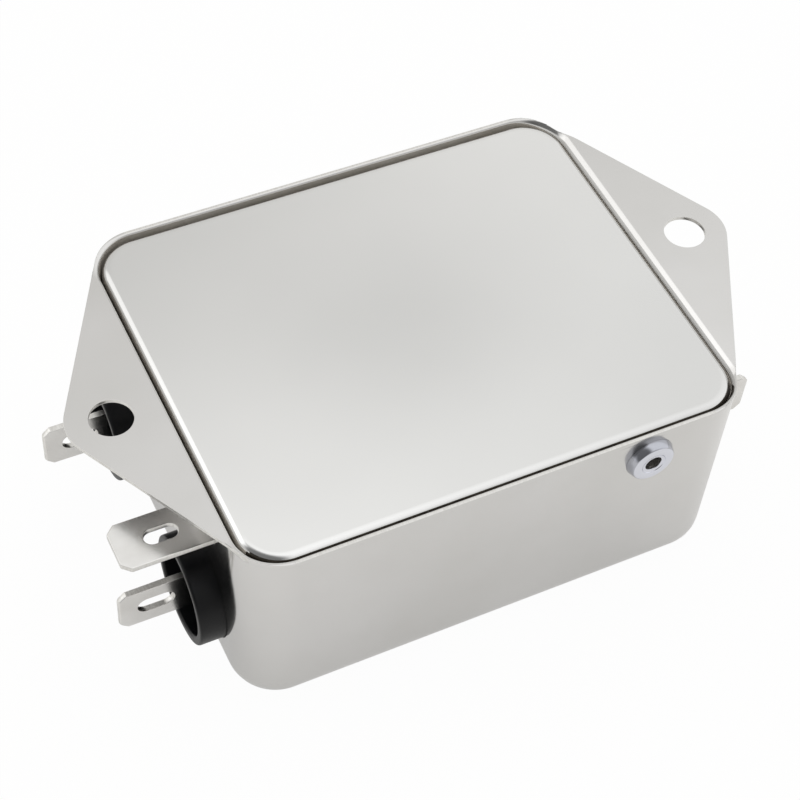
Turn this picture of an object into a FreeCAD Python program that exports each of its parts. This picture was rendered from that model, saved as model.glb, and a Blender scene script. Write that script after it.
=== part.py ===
# EMI line filter for chassis mounting. A deep-drawn, plated steel case with two mounting
# ears is closed by a pressed cover, held by two blind rivets. Push-on tabs leave it through
# insulating bushings, and an earth tab is fixed to the case. Inside is a common-mode choke
# between film capacitors, on a board that the tabs carry.
# Millimetres, +Z up. The origin is the middle of the case's flat bottom. +X points from
# the line end to the load end, and -Y is the front, where the near rivet is.
import FreeCAD, Part
import math
import os
from types import SimpleNamespace

import Sketcher
from FreeCAD import Placement, Rotation, Vector

os.makedirs("parts", exist_ok=True)
doc = FreeCAD.newDocument("EmiLineFilter")

# Driving dimensions
driving = {
    # drawn case with its ears
    "caseLength": 63.8,
    "caseWidth": 52.0,
    "caseHeight": 29.3,
    "caseGauge": 0.7,
    "cornerRadius": 6.0,
    "baseRadius": 4.2,
    "mouthBend": 2.0,
    "rimBreak": 0.25,
    "rimLip": 0.15,
    "holePitch": 75.0,
    "holeDiameter": 5.3,
    "earRadius": 5.3,
    # pressed cover
    "coverGauge": 0.6,
    "coverGap": 0.15,
    "coverDrop": 0.1,
    "coverBend": 1.2,
    "skirtDepth": 3.5,
    "tongueWidth": 8.0,
    "tongueDepth": 8.0,
    "tongueCorner": 2.0,
    # blind rivets with their mandrels
    "rivetOffset": 17.9,
    "rivetDrop": 4.3,
    "rivetHead": 6.3,
    "rivetHeadHeight": 1.1,
    "rivetShank": 3.2,
    "rivetHole": 3.3,
    "rivetBore": 2.0,
    "rivetRecess": 3.5,
    "recessDepth": 0.25,
    "bulbDiameter": 4.8,
    "rivetDome": 0.85,
    "bulbLength": 3.0,
    "bulbRound": 0.7,
    "mandrelClearance": 0.02,
    "mandrelRecess": 1.0,
    "mandrelHead": 2.9,
    "mandrelHeadLength": 1.2,
    "mandrelRound": 0.5,
    # insulating bushings
    "tabSpacing": 25.7,
    "tabAxisHeight": 10.5,
    "bushingDiameter": 13.6,
    "bushingWall": 1.2,
    "bushingReach": 3.1,
    "bushingClearance": 0.1,
    "cupDepth": 4.7,
    "cupFloor": 1.5,
    "flangeDiameter": 15.6,
    "flangeThickness": 1.2,
    "flangeFlat": 6.2,
    "flangeSide": 7.1,
    "bushingEdge": 0.3,
    # push-on tabs
    "tabWidth": 6.3,
    "tabThickness": 0.8,
    "tabReach": 10.6,
    "tabClearance": 0.05,
    "tipChamferLength": 1.15,
    "tipChamferWidth": 0.95,
    "tabBevel": 0.2,
    "slotInset": 2.3,
    "slotLength": 4.5,
    "slotWidth": 2.4,
    "shoulderWidth": 8.0,
    "shoulderLength": 1.2,
    "tailLength": 3.6,
    "tailHeight": 3.5,
    "prongWidth": 1.2,
    # earth tab
    "earthDrop": 5.56,
    "earthOffset": 13.1,
    "earthReach": 10.55,
    "earthSlotInset": 3.55,
    "earthSlotLength": 4.0,
    "earthSlotWidth": 2.0,
    "earthFootGap": 0.7,
    "earthLegWidth": 2.4,
    "earthLegInset": 4.6,
    "earthBend": 0.9,
    # circuit board and insulation
    "boardTop": 8.0,
    "boardThickness": 1.6,
    "boardClearance": 0.3,
    "boardSideGap": 4.3,
    "boardCorner": 2.0,
    "leadProud": 1.2,
    "leadClearance": 0.1,
    "filmGauge": 0.4,
    "filmClearance": 0.1,
    "filmInset": 1.0,
    # common-mode choke
    "chokeBaseSide": 30.0,
    "chokeBaseCorner": 3.0,
    "chokeBaseThickness": 1.5,
    "coreDiameter": 24.0,
    "coreBore": 13.0,
    "coreHeight": 10.0,
    "coreChamfer": 0.4,
    "coreClearance": 0.1,
    "cupWall": 0.7,
    "cupEnd": 0.8,
    "wireDiameter": 1.2,
    "wireClearance": 0.05,
    "windingTurns": 8,
    "turnAngle": 15.5,
    "dividerThickness": 1.2,
    "dividerBar": 1.6,
    "dividerClearance": 0.1,
    # capacitors and bleed resistor
    "filmCapLength": 18.0,
    "filmCapWidth": 7.0,
    "filmCapHeight": 12.5,
    "filmCapPitch": 15.0,
    "filmCapEdge": 0.8,
    "filmCapGap": 0.5,
    "pinDiameter": 0.8,
    "discDiameter": 9.0,
    "discThickness": 3.6,
    "discEdge": 1.3,
    "discStandOff": 1.5,
    "discPitch": 7.5,
    "discGap": 0.8,
    "discLead": 0.6,
    "resistorLength": 9.0,
    "resistorDiameter": 3.2,
    "resistorWaist": 2.7,
    "resistorCapLength": 1.8,
    "resistorRound": 0.2,
    "resistorBend": 1.0,
    "resistorLeadPitch": 15.2,
    "resistorGap": 2.6,
}


# A length that keeps its value beside the sheet formula that features are bound to
class Size:
    def __init__(self, formula, value):
        self.formula = formula
        self.value = value

    def join(self, sign, other, value):
        return Size(f"({self.formula} {sign} {asSize(other).formula})", value)

    def __add__(self, other):
        return self.join("+", other, self.value + asSize(other).value)

    def __sub__(self, other):
        return self.join("-", other, self.value - asSize(other).value)

    def __mul__(self, other):
        return self.join("*", other, self.value * asSize(other).value)

    def __truediv__(self, other):
        return self.join("/", other, self.value / asSize(other).value)

    def __neg__(self):
        return self * -1


def asSize(thing):
    return thing if isinstance(thing, Size) else Size(f"({thing})", thing)


sheet = doc.addObject("Spreadsheet::Sheet", "Sizes")
mm = SimpleNamespace()
for row, (alias, number) in enumerate(driving.items(), start=1):
    sheet.set(f"A{row}", alias)
    sheet.set(f"B{row}", str(number))
    sheet.setAlias(f"B{row}", alias)
    setattr(mm, alias, Size(f"Sizes.{alias}", number))
doc.recompute()


# Helpers that bind features and sketches to the sheet
def bind(thing, name, length):
    thing.setExpression(name, asSize(length).formula)


def newBody(label):
    body = doc.addObject("PartDesign::Body", label)
    body.Label = label
    return body


def newSketch(body, plane, offset=0):
    sketch = body.newObject("Sketcher::SketchObject", body.Label + "_sketch")
    origin = [item for item in body.Origin.OriginFeatures if item.Role == plane + "_Plane"]
    sketch.AttachmentSupport = [(origin[0], "")]
    sketch.MapMode = "FlatFace"
    bind(sketch, "AttachmentOffset.Base.z", offset)
    return sketch


def constrain(sketch, kind, where, length):
    position = sketch.addConstraint(Sketcher.Constraint(kind, *where, asSize(length).value))
    bind(sketch, f"Constraints[{position}]", length)


# x and y place one point of a sketch from its origin
def placePoint(sketch, geometry, point, x, y):
    constrain(sketch, "DistanceX", (-1, 1, geometry, point), x)
    constrain(sketch, "DistanceY", (-1, 1, geometry, point), y)


def flat(x, y):
    return Vector(asSize(x).value, asSize(y).value, 0)


# A closed outline of straight lines through the given corners
def drawPolygon(sketch, corners):
    lines = []
    for start, end in zip(corners, corners[1:] + corners[:1]):
        lines.append(sketch.addGeometry(Part.LineSegment(flat(*start), flat(*end))))
    for line, following in zip(lines, lines[1:] + lines[:1]):
        sketch.addConstraint(Sketcher.Constraint("Coincident", line, 2, following, 1))
    for line, corner in zip(lines, corners):
        placePoint(sketch, line, 1, *corner)


def drawRectangle(sketch, left, bottom, right, top):
    drawPolygon(sketch, [(left, bottom), (right, bottom), (right, top), (left, top)])


def drawCircle(sketch, x, y, diameter):
    radius = asSize(diameter).value / 2
    circle = sketch.addGeometry(Part.Circle(flat(x, y), Vector(0, 0, 1), radius))
    placePoint(sketch, circle, 3, x, y)
    constrain(sketch, "Diameter", (circle,), diameter)


# A closed outline of round corners joined by tangent lines, given anticlockwise
def drawRounded(sketch, corners):
    arcs = []
    turned = corners[1:] + corners[:1]
    normals = []
    for (x, y, radius), (nextX, nextY, nextRadius) in zip(corners, turned):
        along = flat(nextX, nextY) - flat(x, y)
        lean = math.asin((asSize(radius).value - asSize(nextRadius).value) / along.Length)
        normals.append(math.atan2(along.y, along.x) - math.pi / 2 + lean)
    for (x, y, radius), before, after in zip(corners, normals[-1:] + normals[:-1], normals):
        circle = Part.Circle(flat(x, y), Vector(0, 0, 1), asSize(radius).value)
        arcs.append(sketch.addGeometry(Part.ArcOfCircle(circle, before, after)))
    for arc, following in zip(arcs, arcs[1:] + arcs[:1]):
        start = sketch.getPoint(arc, 2)
        end = sketch.getPoint(following, 1)
        line = sketch.addGeometry(Part.LineSegment(start, end))
        sketch.addConstraint(Sketcher.Constraint("Tangent", arc, 2, line, 1))
        sketch.addConstraint(Sketcher.Constraint("Tangent", line, 2, following, 1))
    for arc, (x, y, radius) in zip(arcs, corners):
        placePoint(sketch, arc, 3, x, y)
        constrain(sketch, "Radius", (arc,), radius)


def drawRoundedRectangle(sketch, length, width, radius):
    x = asSize(length) / 2 - radius
    y = asSize(width) / 2 - radius
    drawRounded(sketch, [(x, y, radius), (-x, y, radius), (-x, -y, radius), (x, -y, radius)])


def drawSlot(sketch, x, y, length, width):
    reach = (asSize(length) - width) / 2
    radius = asSize(width) / 2
    drawRounded(sketch, [(asSize(x) - reach, y, radius), (asSize(x) + reach, y, radius)])


# A wire's middle line: up, across at the sketch's origin and down again, with round bends
def drawStaple(sketch, half, bottom, bend):
    across = half - bend
    axis = Vector(0, 0, 1)
    leftBend = Part.Circle(flat(-across, -bend), axis, bend.value)
    rightBend = Part.Circle(flat(across, -bend), axis, bend.value)
    left = sketch.addGeometry(Part.LineSegment(flat(-half, bottom), flat(-half, -bend)))
    leftArc = sketch.addGeometry(Part.ArcOfCircle(leftBend, math.pi / 2, math.pi))
    top = sketch.addGeometry(Part.LineSegment(flat(-across, 0), flat(across, 0)))
    rightArc = sketch.addGeometry(Part.ArcOfCircle(rightBend, 0, math.pi / 2))
    right = sketch.addGeometry(Part.LineSegment(flat(half, -bend), flat(half, bottom)))
    for joint in ((left, 2, leftArc, 2), (leftArc, 1, top, 1),
                  (top, 2, rightArc, 2), (rightArc, 1, right, 1)):
        sketch.addConstraint(Sketcher.Constraint("Tangent", *joint))
    for arc, x in ((leftArc, -across), (rightArc, across)):
        placePoint(sketch, arc, 3, x, -bend)
        constrain(sketch, "Radius", (arc,), bend)
    for line, point in ((left, 1), (right, 2)):
        constrain(sketch, "DistanceY", (-1, 1, line, point), bottom)
        sketch.addConstraint(Sketcher.Constraint("Vertical", line))


def addPad(body, sketch, length, side="One side", backwards=False):
    pad = body.newObject("PartDesign::Pad", body.Label + "_pad")
    pad.Profile = sketch
    pad.SideType = side
    pad.Reversed = backwards
    bind(pad, "Length", length)
    doc.recompute()
    return pad


# Cuts and proves that something went
def addPocket(body, sketch, length, side="One side", backwards=False):
    before = body.Shape.Volume
    pocket = body.newObject("PartDesign::Pocket", body.Label + "_pocket")
    pocket.Profile = sketch
    pocket.SideType = side
    pocket.Reversed = backwards
    bind(pocket, "Length", length)
    doc.recompute()
    if body.Shape.Volume > before - 0.001:
        raise ValueError(f"{pocket.Label} cuts nothing")
    return pocket


def addRevolution(body, sketch, axis="H_Axis"):
    turned = body.newObject("PartDesign::Revolution", body.Label + "_turned")
    turned.Profile = sketch
    turned.ReferenceAxis = (sketch, [axis])
    turned.Angle = 360
    doc.recompute()
    return turned


def edgeNames(feature, wanted):
    return [f"Edge{i}" for i, edge in enumerate(feature.Shape.Edges, start=1) if wanted(edge)]


def addFillet(body, wanted, radius):
    base = body.Tip
    fillet = body.newObject("PartDesign::Fillet", body.Label + "_fillet")
    fillet.Base = (base, edgeNames(base, wanted))
    bind(fillet, "Radius", radius)
    doc.recompute()
    return fillet


def addChamfer(body, wanted, length):
    base = body.Tip
    chamfer = body.newObject("PartDesign::Chamfer", body.Label + "_chamfer")
    chamfer.Base = (base, edgeNames(base, wanted))
    bind(chamfer, "Size", length)
    doc.recompute()
    return chamfer


# Hollows a solid to a wall of even thickness, open at the faces wanted
def addShell(body, wanted, gauge):
    base = body.Tip
    shell = body.newObject("PartDesign::Thickness", body.Label + "_shell")
    faces = enumerate(base.Shape.Faces, start=1)
    shell.Base = (base, [f"Face{i}" for i, face in faces if wanted(face.BoundBox)])
    shell.Reversed = True
    bind(shell, "Value", gauge)
    doc.recompute()
    return shell


# Turns a body about +Z and sets its origin
def place(body, x, y, z, turn=0):
    body.Placement = Placement(Vector(0, 0, 0), Rotation(alongZ, turn))
    bind(body, "Placement.Base.x", x)
    bind(body, "Placement.Base.y", y)
    bind(body, "Placement.Base.z", z)
    doc.recompute()


def near(value, length):
    return abs(value - asSize(length).value) < 0.001


# True where an edge runs straight along one axis
def runsAlong(edge, axis):
    if not isinstance(edge.Curve, Part.Line):
        return False
    return abs(abs(edge.Curve.Direction.dot(axis)) - 1) < 0.001


# The point at an angle in degrees and a radius from the middle of the choke
def polar(radius, degrees):
    angle = asSize(degrees)
    turn = math.radians(angle.value)
    x = Size(f"({radius.formula} * cos({angle.formula} * 1 deg))", radius.value * math.cos(turn))
    y = Size(f"({radius.formula} * sin({angle.formula} * 1 deg))", radius.value * math.sin(turn))
    return x, y


alongX = Vector(1, 0, 0)
alongY = Vector(0, 1, 0)
alongZ = Vector(0, 0, 1)

# Places that several pieces share
halfLength = mm.caseLength / 2
halfWidth = mm.caseWidth / 2
innerEnd = halfLength - mm.caseGauge
innerSide = halfWidth - mm.caseGauge
coverTop = mm.caseHeight - mm.coverDrop
coverUnder = coverTop - mm.coverGauge
tongueBottom = coverTop - mm.tongueDepth
rivetHeight = mm.caseHeight - mm.rivetDrop
holeX = mm.holePitch / 2
earthTop = mm.caseHeight - mm.earthDrop
tabY = mm.tabSpacing / 2
floorBack = mm.bushingReach - mm.cupDepth - mm.cupFloor
shoulderBack = floorBack - mm.shoulderLength
tailEnd = shoulderBack - mm.tailLength
boardEnd = halfLength + shoulderBack - mm.boardClearance
boardBottom = mm.boardTop - mm.boardThickness
boardSide = innerSide - mm.boardSideGap
leadReach = mm.boardThickness + mm.leadProud
footBottom = mm.tabAxisHeight + mm.flangeDiameter / 2 + mm.earthFootGap
legNear = innerEnd - mm.earthLegInset
legFront = -mm.earthOffset - mm.tabWidth / 2
filmCapX = mm.chokeBaseSide / 2 + mm.filmCapGap + mm.filmCapWidth / 2
discY = mm.chokeBaseSide / 2 + mm.discGap + mm.discThickness / 2
resistorX = -mm.discDiameter / 2 - mm.resistorGap - mm.resistorLeadPitch / 2

# Radii and heights of the choke, from its core outwards
cupOuter = mm.coreDiameter / 2 + mm.coreClearance + mm.cupWall
cupBore = mm.coreBore / 2 - mm.coreClearance - mm.cupWall
wireOffset = mm.wireClearance + mm.wireDiameter / 2
wireOuter = cupOuter + wireOffset
wireInner = cupBore - wireOffset
chokeFoot = mm.boardTop + mm.chokeBaseThickness
cupBottom = chokeFoot + wireOffset * 2
capBottom = cupBottom + mm.cupEnd + mm.coreHeight + mm.coreClearance
capTop = capBottom + mm.cupEnd
halfWinding = mm.turnAngle * mm.windingTurns / 2

parts = []


# The case is drawn with a wide flange, which is then trimmed to the ears and a narrow rim
def makeCaseBlank():
    body = newBody("case_blank")
    outer = newSketch(body, "XY")
    drawRoundedRectangle(outer, mm.caseLength, mm.caseWidth, mm.cornerRadius)
    addPad(body, outer, mm.caseHeight)
    addFillet(body, lambda edge: near(edge.BoundBox.ZMax, 0), mm.baseRadius)
    addShell(body, lambda box: near(box.ZMin, mm.caseHeight), mm.caseGauge)
    flange = newSketch(body, "XY", mm.caseHeight)
    drawRectangle(flange, -mm.holePitch, -mm.caseWidth, mm.holePitch, mm.caseWidth)
    drawRoundedRectangle(flange, innerEnd * 2, innerSide * 2, mm.cornerRadius - mm.caseGauge)
    addPad(body, flange, mm.caseGauge, backwards=True)
    return body


# Holes for the bushings and rivets, the earth tab's slot and the mounting holes
def cutCaseHoles(body):
    ends = newSketch(body, "YZ")
    for y in (-tabY, tabY):
        drawCircle(ends, y, mm.tabAxisHeight, mm.bushingDiameter + mm.bushingClearance * 2)
    addPocket(body, ends, mm.caseLength * 2, side="Symmetric")
    slot = newSketch(body, "YZ")
    half = mm.tabWidth / 2 + mm.tabClearance
    drawRectangle(slot, -mm.earthOffset - half, earthTop - mm.tabThickness - mm.tabClearance,
                  -mm.earthOffset + half, earthTop + mm.tabClearance)
    addPocket(body, slot, mm.caseLength)
    front = newSketch(body, "XZ")
    drawCircle(front, mm.rivetOffset, rivetHeight, mm.rivetHole)
    addPocket(body, front, mm.caseWidth, backwards=True)
    back = newSketch(body, "XZ")
    drawCircle(back, -mm.rivetOffset, rivetHeight, mm.rivetHole)
    addPocket(body, back, mm.caseWidth)
    ears = newSketch(body, "XY", mm.caseHeight)
    for x in (-holeX, holeX):
        drawCircle(ears, x, 0, mm.holeDiameter)
    addPocket(body, ears, mm.caseGauge * 2)


# Each edge of a loop round the mouth, with its radius where it starts and where it stops.
# The ends get one radius, the long sides another, and it fades round the corners. The
# even edges come last, so that they settle the radius at the corners they share.
def fadingEdges(shape, height, length, width, endRadius, sideRadius):
    edges = []
    for i, edge in enumerate(shape.Edges, start=1):
        box = edge.BoundBox
        if not (near(box.ZMin, height) and near(box.ZMax, height)):
            continue
        if max(box.XMax, -box.XMin) > length.value + 0.01:
            continue
        if max(box.YMax, -box.YMin) > width.value + 0.01:
            continue
        radii = []
        for where in (edge.FirstParameter, edge.LastParameter):
            atEnd = near(abs(edge.valueAt(where).x), length)
            radii.append(endRadius.value if atEnd else sideRadius.value)
        edges.append((i, *radii))
    edges.sort(key=lambda item: item[1] == item[2])
    return edges


# A piece and its mirror image in one
def addMirrored(base, normal, label):
    mirror = doc.addObject("Part::Mirroring", label + "_mirror")
    mirror.Source = base
    mirror.Normal = normal
    whole = doc.addObject("Part::MultiFuse", label)
    whole.Shapes = [base, mirror]
    whole.Refine = True
    doc.recompute()
    return whole


# The bend from wall to ear, made on one quarter: round above and hollow below, and both
# fade towards the long side
def makeRoundedBlank():
    corner = doc.addObject("Part::Box", "case_corner")
    bind(corner, "Length", mm.holePitch)
    bind(corner, "Width", mm.caseWidth)
    bind(corner, "Height", mm.caseHeight)
    quarter = doc.addObject("Part::Common", "case_quarter")
    quarter.Base = makeCaseBlank()
    quarter.Tool = corner
    doc.recompute()
    mouth = fadingEdges(quarter.Shape, mm.caseHeight, innerEnd, innerSide,
                        mm.mouthBend, mm.rimBreak)
    hollow = fadingEdges(quarter.Shape, mm.caseHeight - mm.caseGauge, halfLength, halfWidth,
                         mm.mouthBend - mm.caseGauge, mm.rimBreak / 2)
    rounded = doc.addObject("Part::Fillet", "case_rounded")
    rounded.Base = quarter
    rounded.Edges = mouth + hollow
    doc.recompute()
    half = addMirrored(rounded, alongX, "case_half")
    return addMirrored(half, alongY, "case_drawn")


def makeCase():
    trim = newBody("case_trim")
    outline = newSketch(trim, "XY")
    lip = mm.cornerRadius + mm.rimLip
    x = halfLength - mm.cornerRadius
    y = halfWidth - mm.cornerRadius
    drawRounded(outline, [(holeX, 0, mm.earRadius), (x, y, lip), (-x, y, lip),
                          (-holeX, 0, mm.earRadius), (-x, -y, lip), (x, -y, lip)])
    addPad(trim, outline, mm.caseHeight + mm.caseGauge)
    trimmed = doc.addObject("Part::Common", "case_trimmed")
    trimmed.Base = makeRoundedBlank()
    trimmed.Tool = trim
    doc.recompute()
    case = newBody("case")
    case.BaseFeature = trimmed
    doc.recompute()
    cutCaseHoles(case)
    parts.append(case)


# The cover drops into the mouth. Two tongues of its skirt reach down to the rivets.
def makeCover():
    body = newBody("cover")
    face = newSketch(body, "XY", coverTop)
    drawRoundedRectangle(face, (innerEnd - mm.coverGap) * 2, (innerSide - mm.coverGap) * 2,
                         mm.cornerRadius - mm.caseGauge - mm.coverGap)
    addPad(body, face, mm.skirtDepth, backwards=True)
    addFillet(body, lambda edge: near(edge.BoundBox.ZMin, coverTop), mm.coverBend)
    addShell(body, lambda box: near(box.ZMax, coverTop - mm.skirtDepth), mm.coverGauge)
    for side in (1, -1):
        left = mm.rivetOffset * side - mm.tongueWidth / 2
        right = mm.rivetOffset * side + mm.tongueWidth / 2
        tongue = newSketch(body, "XZ", innerSide * side)
        drawRectangle(tongue, left, tongueBottom, right, coverTop - mm.coverBend)
        addPad(body, tongue, mm.coverGauge, backwards=side == 1)
        jog = newSketch(body, "XZ")
        drawRectangle(jog, left, tongueBottom, right, coverTop - mm.coverBend)
        addPocket(body, jog, innerSide - mm.coverGauge, backwards=side == 1)
        hole = newSketch(body, "XZ")
        drawCircle(hole, mm.rivetOffset * side, rivetHeight, mm.rivetHole)
        addPocket(body, hole, halfWidth, backwards=side == 1)
    addFillet(body, lambda edge: runsAlong(edge, alongY) and near(edge.BoundBox.ZMin, tongueBottom),
              mm.tongueCorner)
    parts.append(body)


# A film glued under the cover
def makeCoverInsulator():
    body = newBody("cover_insulator")
    inset = mm.coverGap + mm.coverGauge + mm.filmInset
    sheetSketch = newSketch(body, "XY", coverUnder)
    drawRoundedRectangle(sheetSketch, (innerEnd - inset) * 2, (innerSide - inset) * 2,
                         mm.cornerRadius - mm.caseGauge - inset)
    addPad(body, sheetSketch, mm.filmGauge, backwards=True)
    parts.append(body)


# A stiff film on the case's floor, folded up along its long walls
def makeBaseInsulator():
    body = newBody("base_insulator")
    side = innerSide - mm.filmClearance
    inner = side - mm.filmGauge
    floor = mm.caseGauge
    top = tongueBottom - mm.filmInset
    fold = newSketch(body, "YZ")
    drawPolygon(fold, [(-side, floor), (side, floor), (side, top), (inner, top),
                       (inner, floor + mm.filmGauge), (-inner, floor + mm.filmGauge),
                       (-inner, top), (-side, top)])
    addPad(body, fold, (halfLength - mm.cornerRadius) * 2, side="Symmetric")
    bend = mm.baseRadius - mm.caseGauge
    addFillet(body, lambda edge: runsAlong(edge, alongX) and near(edge.BoundBox.ZMax, floor), bend)
    addFillet(body, lambda edge: runsAlong(edge, alongX)
              and near(edge.BoundBox.ZMax, floor + mm.filmGauge), bend - mm.filmGauge)
    parts.append(body)


# A blind rivet seen from its axis: head outside, closed bulb behind the tongue
def makeRivet(side, label):
    grip = mm.caseGauge + mm.coverGauge
    bulbEnd = -grip - mm.bulbLength
    recessFloor = mm.rivetHeadHeight - mm.recessDepth
    body = newBody("rivet_body_" + label)
    section = newSketch(body, "XZ")
    drawPolygon(section, [
        (bulbEnd, mm.rivetBore / 2), (recessFloor, mm.rivetBore / 2),
        (recessFloor, mm.rivetRecess / 2), (mm.rivetHeadHeight, mm.rivetRecess / 2),
        (mm.rivetHeadHeight, mm.rivetHead / 2), (0, mm.rivetHead / 2),
        (0, mm.rivetShank / 2), (-grip, mm.rivetShank / 2),
        (-grip, mm.bulbDiameter / 2), (bulbEnd, mm.bulbDiameter / 2)])
    addRevolution(body, section)
    addFillet(body, lambda edge: near(edge.BoundBox.XMin, mm.rivetHeadHeight)
              and near(edge.BoundBox.ZMax, mm.rivetHead / 2), mm.rivetDome)
    addFillet(body, lambda edge: near(edge.BoundBox.XMax, edge.BoundBox.XMin)
              and near(edge.BoundBox.ZMax, mm.bulbDiameter / 2), mm.bulbRound)
    place(body, mm.rivetOffset * side, -halfWidth * side, rivetHeight, turn=-90 * side)
    parts.append(body)
    mandrel = newBody("rivet_mandrel_" + label)
    stem = newSketch(mandrel, "XZ")
    shank = mm.rivetBore / 2 - mm.mandrelClearance
    broken = mm.rivetHeadHeight - mm.mandrelRecess
    headEnd = bulbEnd - mm.mandrelHeadLength
    drawPolygon(stem, [
        (headEnd, 0), (broken, 0), (broken, shank), (bulbEnd, shank),
        (bulbEnd, mm.mandrelHead / 2), (headEnd, mm.mandrelHead / 2)])
    addRevolution(mandrel, stem)
    addFillet(mandrel, lambda edge: near(edge.BoundBox.XMax, headEnd)
              and near(edge.BoundBox.ZMax, mm.mandrelHead / 2), mm.mandrelRound)
    place(mandrel, mm.rivetOffset * side, -halfWidth * side, rivetHeight, turn=-90 * side)
    parts.append(mandrel)


# A moulded cup that passes the end wall, with a flange inside the wall and a floor for the tab
def makeBushing(end, side, label):
    outer = mm.bushingDiameter / 2
    inner = outer - mm.bushingWall
    flange = mm.flangeDiameter / 2
    flangeBack = -mm.caseGauge - mm.flangeThickness
    cupFloor = mm.bushingReach - mm.cupDepth
    body = newBody(label)
    section = newSketch(body, "XZ")
    drawPolygon(section, [
        (floorBack, 0), (cupFloor, 0), (cupFloor, inner), (mm.bushingReach, inner),
        (mm.bushingReach, outer), (-mm.caseGauge, outer), (-mm.caseGauge, flange),
        (flangeBack, flange), (flangeBack, outer), (floorBack, outer)])
    addRevolution(body, section)
    addFillet(body, lambda edge: near(edge.BoundBox.XMin, mm.bushingReach), mm.bushingEdge)
    slot = newSketch(body, "YZ", mm.bushingReach)
    halfThickness = mm.tabThickness / 2 + mm.tabClearance
    slotHeight = mm.tabWidth / 2 + mm.tabClearance
    drawRectangle(slot, -halfThickness, -slotHeight, halfThickness, slotHeight)
    addPocket(body, slot, mm.cupDepth + mm.cupFloor)
    flats = newSketch(body, "YZ", -mm.caseGauge)
    drawRectangle(flats, -flange, -mm.flangeDiameter, flange, -mm.flangeFlat)
    for inwards in (-1, 1):
        drawRectangle(flats, mm.flangeSide * inwards, -mm.flangeFlat,
                      mm.flangeDiameter * inwards, mm.flangeDiameter)
    addPocket(body, flats, -mm.caseGauge - floorBack)
    place(body, halfLength * end, tabY * side, mm.tabAxisHeight, turn=0 if end > 0 else 180)
    parts.append(body)


# A stamped tab: bevelled tip and lock slot outside, shoulder behind the cup's floor, and a
# tail that carries the board and goes down through it
def makeTab(end, side, label):
    half = mm.tabWidth / 2
    shoulder = mm.shoulderWidth / 2
    chamferStart = mm.tabReach - mm.tipChamferLength
    tailBottom = mm.boardTop - mm.tabAxisHeight
    tailTop = tailBottom + mm.tailHeight
    prongBottom = tailBottom - leadReach
    prongSide = tailEnd + mm.prongWidth
    body = newBody(label)
    outline = newSketch(body, "XZ")
    drawPolygon(outline, [
        (mm.tabReach, half - mm.tipChamferWidth), (chamferStart, half), (floorBack, half),
        (floorBack, shoulder), (shoulderBack, shoulder), (shoulderBack, tailTop),
        (tailEnd, tailTop), (tailEnd, prongBottom), (prongSide, prongBottom),
        (prongSide, tailBottom), (shoulderBack, tailBottom), (shoulderBack, -shoulder),
        (floorBack, -shoulder), (floorBack, -half), (chamferStart, -half),
        (mm.tabReach, mm.tipChamferWidth - half)])
    addPad(body, outline, mm.tabThickness, side="Symmetric")
    addChamfer(body, lambda edge: runsAlong(edge, alongZ)
               and near(edge.BoundBox.XMin, mm.tabReach), mm.tabBevel)
    slot = newSketch(body, "XZ")
    drawSlot(slot, mm.tabReach - mm.slotInset - mm.slotLength / 2, 0, mm.slotLength, mm.slotWidth)
    addPocket(body, slot, mm.tabThickness * 2, side="Symmetric")
    place(body, halfLength * end, tabY * side, mm.tabAxisHeight, turn=0 if end > 0 else 180)
    parts.append(body)


# One strip: a flat tab through the end wall, a foot against the wall's inner face, and a
# narrow leg down to the board
def makeEarthTab():
    body = newBody("earth_tab")
    gauge = mm.tabThickness
    tip = -halfLength - mm.earthReach
    footFace = gauge - innerEnd
    profile = newSketch(body, "XZ", mm.earthOffset)
    drawPolygon(profile, [
        (tip, earthTop), (footFace, earthTop), (footFace, footBottom + gauge),
        (gauge - legNear, footBottom + gauge), (gauge - legNear, mm.boardTop - leadReach),
        (-legNear, mm.boardTop - leadReach), (-legNear, footBottom), (-innerEnd, footBottom),
        (-innerEnd, earthTop - gauge), (tip, earthTop - gauge)])
    addPad(body, profile, mm.tabWidth, side="Symmetric")
    corners = [(footFace, earthTop), (-innerEnd, footBottom), (gauge - legNear, footBottom + gauge)]
    addFillet(body, lambda edge: runsAlong(edge, alongY) and any(
        near(edge.BoundBox.XMax, x) and near(edge.BoundBox.ZMax, z) for x, z in corners), mm.earthBend)
    front = -mm.earthOffset - mm.tabWidth / 2
    back = -mm.earthOffset + mm.tabWidth / 2
    plan = newSketch(body, "XY", mm.caseHeight)
    drawRectangle(plan, footFace, front + mm.earthLegWidth,
                  gauge * 2 - legNear, back + mm.tabClearance)
    for edge, inwards in ((front, 1), (back, -1)):
        drawPolygon(plan, [
            (tip - mm.tipChamferLength, edge + mm.tipChamferWidth * inwards),
            (tip, edge + mm.tipChamferWidth * inwards), (tip + mm.tipChamferLength, edge),
            (tip - mm.tipChamferLength, edge)])
    drawSlot(plan, tip + mm.earthSlotInset + mm.earthSlotLength / 2, -mm.earthOffset,
             mm.earthSlotLength, mm.earthSlotWidth)
    addPocket(body, plan, mm.caseHeight)
    parts.append(body)


# Plan places of every lead that goes through the board, with its diameter
def boardLeads():
    leads = []
    for x in (-filmCapX, filmCapX):
        for y in (-mm.filmCapPitch / 2, mm.filmCapPitch / 2):
            leads.append((x, y, mm.pinDiameter))
    for y in (-discY, discY):
        for x in (-mm.discPitch / 2, mm.discPitch / 2):
            leads.append((x, y, mm.discLead))
    for x in (-mm.resistorLeadPitch / 2, mm.resistorLeadPitch / 2):
        leads.append((resistorX + x, discY, mm.discLead))
    return leads + windingLeads()


def windingLeads():
    leads = []
    for middle in (-90, 90):
        for sign in (-1, 1):
            x, y = polar(wireOuter, halfWinding * sign + middle)
            leads.append((x, y, mm.wireDiameter))
    return leads


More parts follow.
